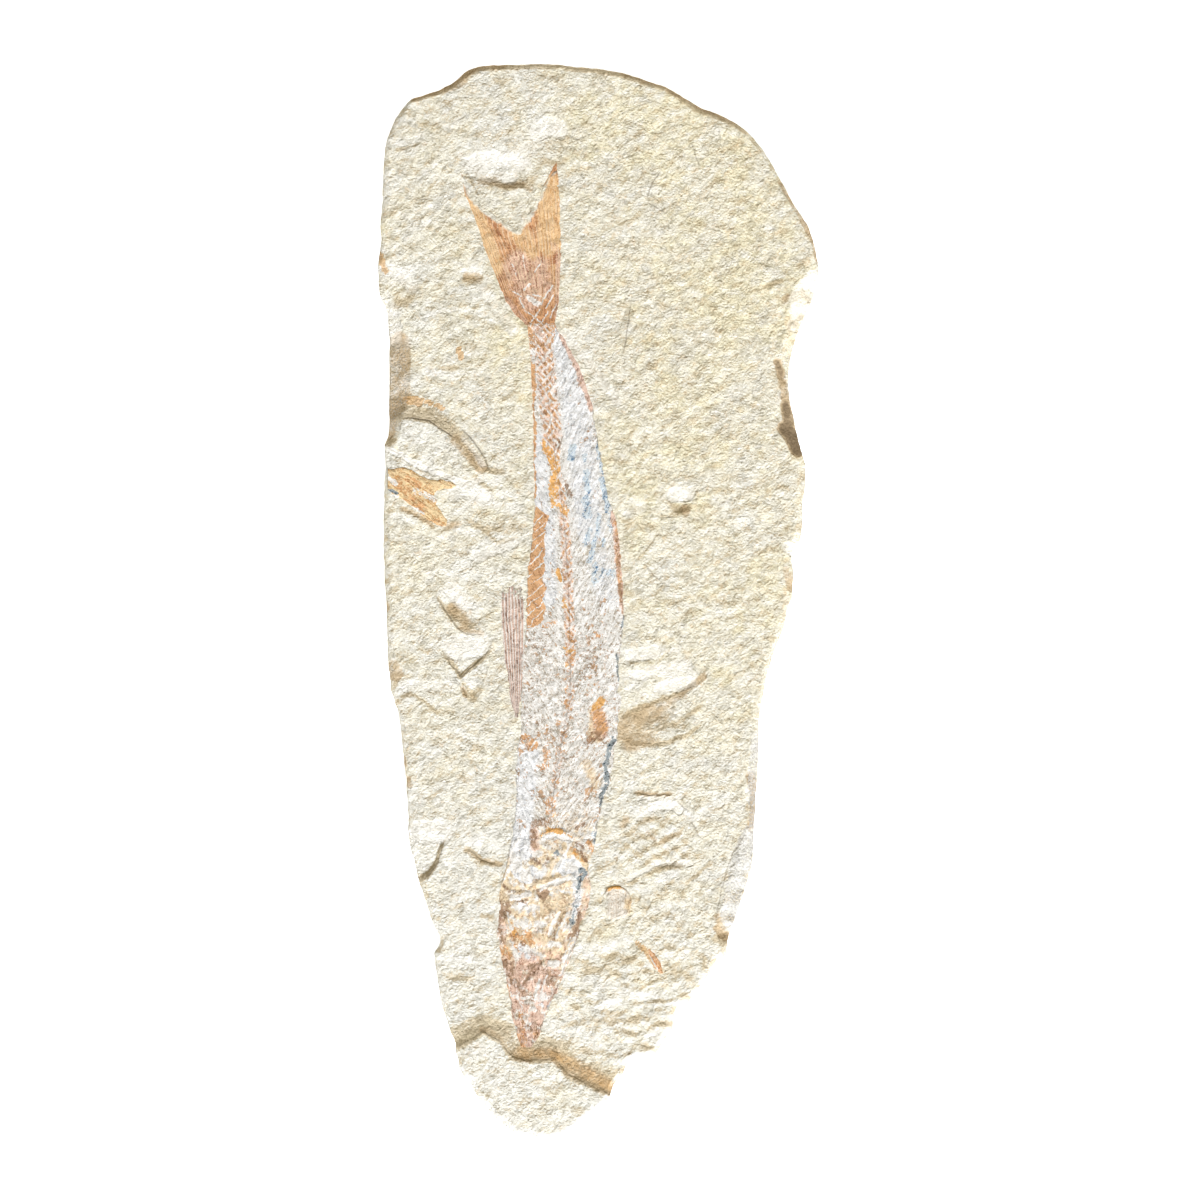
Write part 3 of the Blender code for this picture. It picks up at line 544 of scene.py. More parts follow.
# Tan to brown strokes: real stains in part, most of them painted shade on slopes, pits, rim facets, creases
# and hollows that face away from the key lamp
STAINS_AND_PAINTED_SHADE = [
    ((455, 440, 466, 453, 482, 469), 4, 3, 0.6), ((466, 276, 480, 277), 2.5, 2, 0.75),
    ((467, 280, 471, 284), 1, 2, 0.6), ((460, 628, 482, 634), 1.5, 2.5, 0.65),
    ((463, 688, 466, 696), 1, 2, 0.7), ((393, 667, 396, 674), 6, 3, 0.65),
    ((386, 603, 387, 610), 2, 2, 0.6), ((404, 758, 405, 766), 1, 1.5, 0.8),
    ((408, 779, 409, 786), 2, 2, 0.7), ((466, 850, 481, 860, 502, 865), 1, 3, 0.65),
    ((716, 928, 722, 935, 727, 938), 2.5, 2, 1), ((718, 918, 722, 928), 3, 3, 0.6),
    ((412, 99, 440, 90, 455, 81, 470, 71, 485, 66, 505, 65), 2, 2.5, 0.75),
    ((448, 88, 462, 80), 4, 4, 0.55), ((622, 74, 660, 85, 685, 99, 705, 110, 736, 122), 1.2, 2, 0.65),
    ((780, 184, 800, 217), 1, 2, 0.6), ((803, 220, 809, 232), 2.5, 2.5, 0.8),
    ((809, 230, 818, 260), 1, 2.5, 0.7), ((786, 570, 791, 588), 3, 2.5, 0.6),
    ((784, 302, 788, 294), 1.5, 2.5, 0.55),
    ((480, 182, 492, 182, 502, 186, 512, 186, 524, 184, 530, 189), 1.5, 4, 0.55),
    ((453, 608, 466, 622), 4, 4, 0.6), ((684, 508, 686, 513), 2.5, 3, 0.6),
    ((750, 776, 755, 792, 752, 830), 2.5, 3, 0.85), ((636, 793, 650, 794.5, 671, 794.5), 1.4, 1.6, 0.7),
    ((622, 826, 626, 820), 2.5, 3, 0.55), ((616, 857, 618, 860), 0.8, 1.5, 0.8),
    ((651, 817, 652, 820), 1.2, 2, 0.6), ((633, 832, 640, 838), 0.6, 1.5, 0.6),
    ((647, 832, 656, 841), 0.8, 1.8, 0.6), ((661, 843, 672, 836, 680, 833), 1.6, 2.5, 0.55),
    ((402, 509, 414, 513, 426, 521, 432, 526), 1.2, 2.5, 0.75), ((448, 526, 458, 524), 2, 4, 0.6),
    ((640, 722, 664, 708, 690, 688, 704, 676), 1.5, 4, 0.65), ((622, 727, 640, 721, 664, 710), 4, 18, 0.62),
    ((632, 742, 648, 738), 4, 13, 0.62),
    ((483, 1028, 500, 1037, 507, 1048, 516, 1056, 530, 1058), 1.6, 4, 0.6),
    ((555, 1056, 568, 1071, 590, 1082, 612, 1091), 1.6, 5, 0.75),
    ((399, 343, 400, 392, 396, 404), 10, 3, 0.56), ((392, 410, 389, 432), 6, 3, 0.62),
    ((777, 362, 781, 376), 1.8, 3.5, 1.25), ((783, 382, 786, 402), 2.5, 4, 0.8),
    ((786, 406, 789, 422), 3.5, 4, 1.4), ((785, 428, 791, 434, 798, 448), 5, 5, 1.6),
]
# White strokes: fresh chalky scrapes in part, most of them painted highlights on slopes, bosses and rim
# facets that face the key lamp
CHALK_AND_PAINTED_HIGHLIGHTS = [
    ((385, 268, 400, 274, 413, 287), 4, 5, 0.85), ((389, 310, 391, 338), 7, 6, 0.75),
    ((410, 336, 408, 345), 2, 4, 0.6), ((452, 590, 466, 603), 6, 6, 0.8), ((455, 648, 478, 645), 10, 6, 1),
    ((405, 686, 450, 687), 4, 6, 0.7), ((422, 832, 440, 832), 9, 7, 1), ((674, 495, 688, 494), 6, 4, 1),
    ((624, 512, 642, 508), 3, 6, 0.6), ((630, 656, 656, 652), 4, 6, 0.9), ((624, 674, 645, 676), 3, 5, 0.8),
    ((662, 688, 690, 683), 4, 5, 1), ((701, 532, 718, 529), 1.5, 2.5, 0.7),
    ((800, 300, 814, 285), 9, 6, 0.85), ((795, 325, 806, 310), 5, 6, 0.8), ((788, 548, 797, 552), 5, 4, 1),
    ((787, 600, 789, 612), 3, 4, 0.7), ((655, 808, 674, 806), 3, 5, 0.75),
    ((474, 1048, 492, 1052), 4, 7, 0.6),
    ((384, 448, 400, 455, 415, 464, 432, 472, 448, 478, 464, 484, 480, 481), 1.2, 3.5, 1.3),
    ((455, 494, 468, 488, 484, 496), 5, 7, 0.9), ((476, 558, 500, 548, 514, 542), 3, 6, 1),
    ((652, 808, 668, 804, 680, 811), 3, 3, 1.3), ((640, 798, 680, 799), 1.5, 2, 1),
    ((626, 880, 640, 873, 656, 863, 672, 864, 690, 864), 2, 3, 0.9),
    ((462, 438, 474, 452, 484, 466), 1.5, 2.5, 0.9), ((565, 336, 590, 365, 618, 402), 2.5, 6, 0.9),
    ((480, 284, 498, 312, 512, 328), 3, 7, 0.8), ((528, 148, 540, 142), 4, 8, 0.8),
    ((472, 164, 500, 159, 520, 158), 6, 10, 0.95), ((476, 175, 512, 177), 3, 7, 0.9),
    ((538, 134, 548, 126, 560, 130), 5, 8, 1.2),
]
# Orange strokes: iron on bone scraps, seams and spots, and one soft band of painted bounce light
IRON_AND_BOUNCE_MARKS = [
    ((459, 349, 462, 358), 1.2, 1.6, 0.9), ((380, 256, 385, 271), 1.5, 2, 0.7),
    ((636, 943, 644, 948, 650, 957, 656, 968), 0.5, 1.2, 1.2),
    # painted bounce light: a warm orange glow in the shade at the foot of the cliff at the snout end
    ((520, 1052, 556, 1054, 580, 1068, 612, 1086), 1, 14, 0.24),
    ((405, 398, 420, 400, 434, 404, 444, 409), 0.7, 1.2, 1.0), ((409, 401, 420, 404), 1.5, 1.5, 0.9),
]
# Grey strokes on the rim facets: partly their dusty grey, partly painted shade that dims them
GREY_AND_PAINTED_SHADE_MARKS = [
    ((749, 836, 742, 862, 734, 890, 729, 915), 8, 5, 1), ((755, 742, 752, 775, 754, 830), 3.5, 3, 1),
    ((788, 352, 786, 362), 4, 3, 0.6), ((399, 350, 400, 400, 393, 425), 7, 5, 0.6),
]
# Cracks and creases: the line and how dark it is. Along ledge rims, chip creases and rim facets the dark
# line is painted shade.
CRACKS_AND_CREASE_SHADE = [
    ((662, 170, 655, 178, 650, 188, 646, 200), 0.6), ((645, 201, 657, 207, 670, 216), 0.5),
    ((690, 142, 694, 149, 697, 160, 700, 168), 0.5), ((630, 299, 629, 320, 626, 338, 622, 358), 0.6),
    ((622, 360, 632, 368, 644, 374), 0.35), ((670, 216, 688, 211, 706, 202), 0.25),
    ((643, 562, 652, 573, 661, 582), 0.5), ((676, 800, 683, 806, 692, 815), 0.5),
    ((690, 820, 696, 829, 700, 838), 0.5), ((448, 127, 456, 122, 468, 115), 0.5),
    ((400, 417, 413, 418, 430, 421, 438, 427, 450, 435, 457, 439), 1.0),
    ((457, 426, 470, 437, 480, 450, 487, 462, 491, 476), 0.8),
    ((434, 592, 442, 606, 452, 620, 460, 630, 467, 634, 482, 635), 0.8),
    ((442, 652, 450, 663, 457, 671, 461, 678, 469, 669, 480, 661, 491, 651), 0.75),
    ((420, 881, 431, 873, 438, 862, 441, 850, 445, 836), 0.6),
    ((465, 849, 473, 852, 481, 860, 502, 865), 0.6), ((468, 698, 463, 690, 464, 684), 0.6),
    ((633, 792, 650, 795, 676, 794), 0.7), ((463, 176, 470, 178, 480, 199), 0.5),
    ((658, 518, 680, 516), 0.5), ((640, 556, 651, 544, 660, 530), 0.5), ((386, 445, 402, 456), 0.5),
    ((402, 199, 434, 200), 0.4), ((398, 150, 420, 144), 0.4),
    ((458, 1044, 466, 1041, 475, 1036, 483, 1030, 490, 1035, 500, 1039, 506, 1049, 515, 1057, 530, 1059,
      545, 1059, 555, 1057, 562, 1065, 568, 1073, 580, 1079, 590, 1084, 600, 1088), 0.45),
    ((749, 828, 732, 854, 721, 890, 715, 925), 0.5), ((608, 120, 625, 112, 642, 104, 658, 100), 0.35),
    ((567, 134, 578, 139, 597, 130), 0.4),
]


def crack_and_crease_marks(spots):
    """Signed distance to the nearest fine line in millimetres, and its darkness, which dies at its ends."""
    nearest, depth = np.full(len(spots), 40.0), np.zeros(len(spots))
    uneven = warped(spots, 1.0, 7, 47)
    for line, dark in CRACKS_AND_CREASE_SHADE:
        distance, place, side = from_line(uneven, line, 12)
        closer = distance < np.abs(nearest)
        nearest = np.where(closer, side * distance, nearest)
        depth = np.where(closer, dark * smooth(np.minimum(place, 1 - place) / 0.2), depth)
    return nearest * STEP / MM, depth


print(len(STAINS_AND_PAINTED_SHADE), "stains,", len(CHALK_AND_PAINTED_HIGHLIGHTS), "chalk marks,", len(CRACKS_AND_CREASE_SHADE), "cracks")

# %% [markdown]
# ## The stone's surface
# The finished height of the stone is the bare ground with its scoops and scars, plus small crumbs that are
# larger in the rough ground beside the snout and nearly gone on the worn cliff foot, minus the chipped
# rim, minus the beds of the fossils.

# %% Height of the stone
EDGE_DROP, EDGE_SLOPE = 0.35 * MM, 0.55
RUBBLE_CENTRE, RUBBLE_REACH = (640, 985), 120
CLEARANCE = 7              # scoops and scars fade out over so many steps next to a fossil
BED_DEPTH = 0.5 * MM
PEEL_TURN, PEEL_STRETCH = np.radians(-40), 1.2
# Unevenness in mm: on plain ground, and what the rubble adds
COARSE, LUMPS, CRUMBS = (0.05, 0.22), (0.18, 0.08), (0.14, 0.06)
WORN_SHARE = 0.8           # how much of it is gone on worn ground


def peel(spots, size, seed, layers=1):
    """Hills drawn out along a slanting direction, as the scraping tool left them."""
    x, y = spots.T
    along = (x * np.cos(PEEL_TURN) + y * np.sin(PEEL_TURN)) / PEEL_STRETCH
    across = y * np.cos(PEEL_TURN) - x * np.sin(PEEL_TURN)
    return hills(np.column_stack([along, across]), size, seed, layers)


def ground_height(spots):
    """Height of the stone under and around the fossils: bare ground + what was dug + three unevennesses."""
    rubble = smooth(1.4 - np.hypot(*(spots - RUBBLE_CENTRE).T) / RUBBLE_REACH)
    clear = smooth(-depth_in_fossils(spots) / CLEARANCE)
    sizes = [plain + extra * rubble for plain, extra in (COARSE, LUMPS, CRUMBS)]
    coarse = sizes[0] * hills(spots, 20, 51, 2)
    lumps = sizes[1] * (0.5 - np.abs(peel(spots, 13, 55, 3)))
    crumbs = sizes[2] * peel(spots, 7, 58, 2)
    kept = 1 - WORN_SHARE * painted(spots, WORN)
    dug = scars(spots) - scoops(spots) + pressed_ribs(spots)
    return bare_ground(spots) + clear * dug + (coarse + (lumps + crumbs) * kept) * MM


def rim_drop(spots, edge):
    """Fall of the chipped rim: (drop + slope w)(1 - d / w)^0.8 within a rim width w that varies."""
    widths = np.array([width for _, _, width in OUTLINE], dtype=float)
    _, place, _ = from_line(spots, [corner[:2] for corner in OUTLINE], 45, closed=True)
    width = np.interp(place * len(widths), np.arange(len(widths) + 1), np.append(widths, widths[0]))
    width *= 1 + 0.25 * hills(spots, 12, 61, 2)
    distance = from_line(spots, edge, 30, closed=True)[0]
    share = np.clip(1 - distance / width, 0, 1)
    return (EDGE_DROP + EDGE_SLOPE * width * STEP) * share ** 0.8


def climbing(heights, spots):
    """How steeply a grid climbs towards the snout end: change in height / change in row, both in mm."""
    change = np.gradient(heights.reshape(ground.shape[:2]), axis=0)
    onward = np.gradient(spots[:, 1].reshape(ground.shape[:2]), axis=0) * STEP
    return np.clip(change / onward, -1, 1).ravel()


beds = BED_DEPTH * smooth((fossil_depth - 2) / 5)
surface = ground_height(flat_spots) - rim_drop(flat_spots, edge) - beds
print(f"stone surface from {surface.min() / MM:.2f} to {surface.max() / MM:.2f} mm")

# %% [markdown]
# ## One closed slab
# The face grid is the lid. The sides are rings that step down from its border, set in and out a little,
# because platy limestone splits in thin layers. The back is a coarser grid, nearly flat, with shallow
# scars where thin flakes came off. Lid, sides and back share their border points, so the slab is closed.

# %% Sides and back
RINGS = 11                 # rings from the rim to the back
BACK_STEP = 3              # the back's grid is this much coarser than the face's
BACK_INSET = 9.0           # how far the back's border lies inside the outline, in steps
BACK_MARGIN = 5.0          # how far the back's grid lies inside that border
BACK_SCARS, BACK_GRAIN = 0.35 * MM, 0.04 * MM
LAYERING, CHIPPING = 2.2, 1.1     # how far the split layers and chips of the sides reach in, in steps
# The painted marks, stains, chalk, iron, grey and cracks with the painted shade, highlights and bounce
# light among them, end below the bed level and fade on the side rings
PAINT_DEPTH = 3.6          # stains end so far below the bed level, in mm
SIDE_PAINT = 0.45          # strength of the stains one ring below the rim; deeper there are none


def wall_rings(ring, top):
    """Rings from the rim down: inset = layer steps + hills, growing towards the back's rounded border."""
    inward = inward_of(ring)
    rings, levels = [], []
    for number in range(1, RINGS + 1):
        share = number / RINGS
        level = top * (1 - share)
        seam = np.column_stack([ring.sum(1) * 0.5, np.full(len(ring), 40.0 * number)])
        layers = LAYERING * np.abs(hills(seam, 30, 71, 2)) + CHIPPING * np.abs(hills(seam, 7, 75))
        rounding = BACK_INSET * np.clip((share - 0.72) / 0.28, 0, 1) ** 2.2
        rings.append(ring + inward * (0.6 + layers + rounding)[:, None])
        levels.append(level + (0.12 * MM * hills(seam, 18, 79) if number < RINGS else 0))
    return rings, levels


def back_height(spots, border_reach):
    """Height of the back: flat, with shallow flake scars away from its border."""
    scar = smooth((hills(spots, 120, 81, 3) - 0.12) / 0.08) * smooth((hills(spots, 60, 84) + 0.5) / 0.4)
    grain = BACK_GRAIN * np.abs(hills(spots, 16, 87, 2))
    return (BACK_SCARS * scar + grain) * smooth((border_reach - 4) / 16)


def grid_faces(columns, rows, start=0, turned=False):
    """Four-sided faces of a grid with so many cells across and along; turned faces look down."""
    wide = columns + 1
    first = (np.arange(rows)[:, None] * wide + np.arange(columns)).ravel() + start
    quads = np.column_stack([first, first + 1, first + wide + 1, first + wide])
    return (quads[:, ::-1] if turned else quads).tolist()


def border_ring(columns, rows, start=0):
    """The border points of such a grid, from its upper left corner clockwise."""
    wide = columns + 1
    return start + np.concatenate([
        np.arange(columns) + rows * wide, columns + wide * np.arange(rows, 0, -1),
        np.arange(columns, 0, -1), wide * np.arange(rows),
    ])


def joined(fine, coarse, stride):
    """Faces between two rings, where each point of the coarse one matches every `stride`-th of the fine."""
    fine = np.append(fine, fine[0])
    faces = []
    for number, corner in enumerate(coarse):
        after = coarse[(number + 1) % len(coarse)]
        faces.append(fine[number * stride:(number + 1) * stride + 1].tolist() + [after, corner])
    return faces


def closed_slab():
    """All points, heights and faces of the slab."""
    border = border_ring(COLUMNS, ROWS)
    rings, levels = wall_rings(edge, surface[border])
    back_border = rings[-1][::BACK_STEP]
    columns, rows = COLUMNS // BACK_STEP, ROWS // BACK_STEP
    back = between(back_border + inward_of(back_border) * BACK_MARGIN, columns, rows).reshape(-1, 2)
    back_level = back_height(back, from_line(back, back_border, 40, closed=True)[0])
    faces = grid_faces(COLUMNS, ROWS)
    upper = border
    for number in range(RINGS):
        lower = len(flat_spots) + number * len(border) + np.arange(len(border))
        faces += np.column_stack([np.roll(lower, -1), lower, upper, np.roll(upper, -1)]).tolist()
        upper = lower
    start = len(flat_spots) + RINGS * len(border)
    faces += grid_faces(columns, rows, start, turned=True)
    faces += joined(upper, border_ring(columns, rows, start), BACK_STEP)
    points = np.vstack([flat_spots] + rings + [back])
    return points, np.concatenate([surface] + levels + [back_level]), faces


def warmth(spots):
    """How yellow the stone is: most at the upper right, least at the left edge and the snout end."""
    x, y = spots.T
    right = smooth((x - 420) / 300)
    upper = smooth((860 - y) / 700)
    lower = 0.22 * smooth((y - 620) / 200) + 0.13 * smooth((y - 1040) / 60)
    return np.clip(0.30 + 0.45 * right * (0.15 + 0.85 * upper) - lower, 0, 1)


def make_piece(name, plan, heights, faces, marks):
    """A mesh object at the origin from survey spots, heights and faces, with its marks as attributes."""
    mesh = bpy.data.meshes.new(name)
    mesh.from_pydata(np.column_stack([to_plan(plan), heights]).tolist(), [], faces)
    for mark, values in marks.items():
        flat = values.ndim == 1
        layer = mesh.attributes.new(mark, "FLOAT" if flat else "FLOAT_VECTOR", "POINT")
        layer.data.foreach_set("value" if flat else "vector", values.astype(np.float32).ravel())
    mesh.shade_smooth()
    mesh.update()
    piece = bpy.data.objects.new(name, mesh)
    bpy.context.scene.collection.objects.link(piece)
    triangles = sum(len(face.vertices) - 2 for face in mesh.polygons)
    print(f"{name}: {len(mesh.vertices)} points, {triangles} triangles")
    return piece


plan, heights, faces = closed_slab()
face_points, rim_points = len(flat_spots), len(edge)
on_face = smooth(((heights - BED_LEVEL) / MM + PAINT_DEPTH + 0.8 * hills(plan, 9, 91)) / 1.4)
on_face[face_points:] *= SIDE_PAINT
on_face[face_points + rim_points:] = 0
crack_and_crease, crack_and_crease_darkness = crack_and_crease_marks(plan)
rough_spots = warped(plan, 1.5, 6, 35)
# Marks on the face: stains with painted shade, chalk with painted highlights, iron with painted bounce
# light at the cliff foot, grey with painted shade on rim facets, cracks with painted shade in creases, and
# the climb, which adds painted shade where the face climbs towards the key lamp
slab_marks = {
    "stain_and_shade": painted(rough_spots, STAINS_AND_PAINTED_SHADE) * on_face,
    "chalk_and_highlight": painted(rough_spots, CHALK_AND_PAINTED_HIGHLIGHTS) * on_face,
    "iron_and_bounce": painted(rough_spots, IRON_AND_BOUNCE_MARKS) * on_face,
    "crack_and_crease": crack_and_crease,
    "crack_and_crease_darkness": crack_and_crease_darkness * on_face,
    "grey_and_shade": painted(rough_spots, GREY_AND_PAINTED_SHADE_MARKS) * on_face,
    "climb": np.append(climbing(surface, flat_spots), np.zeros(len(plan) - face_points)),
    "warmth": warmth(plan),
}
slab = make_piece("limestone_slab", plan, heights, faces, slab_marks)

# %% [markdown]
# ## Helpers for materials
# A material is a graph of nodes. These helpers add one node at a time and give back its output, so that
# a finish reads like a sum: noise, then a soft step, then a mix of two colours.

# %% Node helpers
def place(tree, kind, inputs=None, **settings):
    """Add one node: settings are its properties, inputs are plain values or outputs to join to it."""
    made = tree.nodes.new(kind)
    for name, value in settings.items():
        setattr(made, name, value)
    for name, value in (inputs or {}).items():
        if isinstance(value, bpy.types.NodeSocket):
            tree.links.new(value, made.inputs[name])
        else:
            made.inputs[name].default_value = value
    return made


def reckon(tree, operation, first, second=0.0, third=0.0):
    """One sum on numbers, such as MULTIPLY or ADD."""
    node = place(tree, "ShaderNodeMath", {0: first, 1: second, 2: third}, operation=operation)
    return node.outputs[0]


def weighted(tree, start, *terms):
    """A start value + share x part, over all (share, part) terms."""
    for share, part in terms:
        start = reckon(tree, "MULTIPLY_ADD", part, share, start)
    return start


def on_vectors(tree, operation, first, second=(0, 0, 0), scale=1.0):
    """One sum on vectors, such as ADD, SUBTRACT or SCALE."""
    node = place(tree, "ShaderNodeVectorMath", {0: first, 1: second, 3: scale}, operation=operation)
    return node.outputs["Value" if operation == "DOT_PRODUCT" else "Vector"]


def step(tree, value, low, high):
    """A soft step: 0 at `low`, 1 at `high`."""
    node = place(tree, "ShaderNodeMapRange", {"Value": value, "From Min": low, "From Max": high},
                 interpolation_type="SMOOTHSTEP")
    return node.outputs["Result"]


def noise(tree, where, scale, detail=2.0, rough=0.5, bend=0.0, output="Fac"):
    """Cloudy noise around 0.5; `scale` counts its clouds per millimetre."""
    inputs = {"Vector": where, "Scale": scale, "Detail": detail, "Roughness": rough, "Distortion": bend}
    return place(tree, "ShaderNodeTexNoise", inputs).outputs[output]


def pushed(tree, where, around, scale, amount):
    """A place moved a little in every direction, by a coloured noise, for bending other patterns."""
    push = on_vectors(tree, "SCALE", noise(tree, around, scale, output="Color"), scale=amount)
    return on_vectors(tree, "ADD", where, push)


def blend(tree, share, first, second):
    """Two colours mixed by a share from 0 to 1."""
    return place(tree, "ShaderNodeMix", {0: share, 6: first, 7: second}, data_type="RGBA").outputs[2]


def covered(tree, colour, cover, share, amount):
    """A colour covered by another one by amount x share."""
    return blend(tree, reckon(tree, "MULTIPLY", share, amount), colour, cover)


def mixed(tree, share, first, second):
    """Two numbers mixed by a share from 0 to 1."""
    return place(tree, "ShaderNodeMix", {0: share, 2: first, 3: second}).outputs[0]


def facets(tree, where, scale):
    """A height in mm made of small flat chips, each tilted its own way: tilt . (place - chip centre)."""
    chips = place(tree, "ShaderNodeTexVoronoi", {"Vector": where, "Scale": scale}).outputs
    tilt = on_vectors(tree, "SUBTRACT", chips["Color"], (0.5, 0.5, 0.5))
    arm = on_vectors(tree, "SUBTRACT", where, chips["Position"])
    return on_vectors(tree, "DOT_PRODUCT", tilt, arm)


def mark(tree, name, output="Fac"):
    """A mark stored on the piece's points."""
    return place(tree, "ShaderNodeAttribute", attribute_name=name).outputs[output]


def millimetres(tree):
    """The place on the object, counted in millimetres."""
    spot = place(tree, "ShaderNodeTexCoord").outputs["Object"]
    return on_vectors(tree, "SCALE", spot, scale=1 / MM)


def new_group(name, inputs, outputs):
    """A node group with named sockets: inputs and outputs give each socket's name and kind."""
    tree = bpy.data.node_groups.new(name, "ShaderNodeTree")
    for direction, sockets in (("INPUT", inputs), ("OUTPUT", outputs)):
        for title, kind in sockets.items():
            tree.interface.new_socket(title, in_out=direction, socket_type="NodeSocket" + kind)
    return tree, tree.nodes.new("NodeGroupInput").outputs, tree.nodes.new("NodeGroupOutput").inputs


def use_group(tree, group, inputs):
    """The outputs of a group that is used inside a material."""
    return place(tree, "ShaderNodeGroup", inputs, node_tree=group).outputs


# %% [markdown]
# ## The look of the limestone
# Fine limestone is a cream ground with cloudy patches of yellow and of cool grey, and its scraped face is
# like coarse sandpaper. One group gives that colour and that grain to the slab and to the stone that
# still clings to the fossils, so that no seam shows where they meet. The group also paints shade in straw
# on the side of each grain that faces away from the key lamp, and highlights in chalky white on the side
# that faces it.

# %% Limestone group
CREAM = (0.91, 0.88, 0.742, 1)
YELLOW = (0.92, 0.865, 0.635, 1)
PALE = (0.90, 0.895, 0.818, 1)
# tan: stains, and painted shade on slopes, pits and rims that face away from the key lamp
STAIN_AND_SHADE_TAN = (0.61, 0.46, 0.275, 1)
OCHRE = (0.78, 0.58, 0.33, 1)
# straw: painted shade on the side of each grain that faces away from the key lamp
STRAW_SHADE = (0.81, 0.655, 0.405, 1)
# brown: dark stains, and painted shade in the darkest creases and on rim facets
STAIN_AND_SHADE_BROWN = (0.27, 0.20, 0.12, 1)
# chalk: fresh chalky scrapes, and painted highlights on grains, slopes and facets that face the key lamp
CHALK_AND_HIGHLIGHT = (0.93, 0.92, 0.875, 1)
# the crack colour: cracks, and painted shade in creases along ledge rims and chips
CRACK_AND_CREASE_SHADE_COLOUR = (0.22, 0.17, 0.11, 1)
# iron: rust-orange iron, and painted bounce light in the shade of the cliff foot
IRON_AND_BOUNCE = (0.76, 0.47, 0.20, 1)
# grey: dusty grey of the rim facets, and painted shade on them
GREY_SHADE = (0.66, 0.65, 0.62, 1)
# each grain is compared with grit further up the slab to find the side that faces away from the key lamp;
# that side gets painted shade, the other a painted highlight
SHADE_SIDE_SHIFT = (0.0, 0.13, 0.0)       # grains are compared with those this far up the slab, in mm
PAINTED_SHADE_AND_HIGHLIGHT = 0.65               # how much a grain's sheltered side is straw, and its bright side chalk
CRACK_AND_CREASE_WIDTH = 0.11                 # in mm


def broken_up(tree, share, uneven):
    """A painted share with an uneven amount added wherever there is any paint."""
    return reckon(tree, "MULTIPLY_ADD", step(tree, share, 0.0, 0.35), uneven, share)


def grit(tree, drawn, where):
    """The two finest roughnesses of the face: crumbs drawn out by the scraping tool, and even sand."""
    return noise(tree, drawn, 1.05, 4, 0.65), noise(tree, where, 2.3, 3, 0.65)


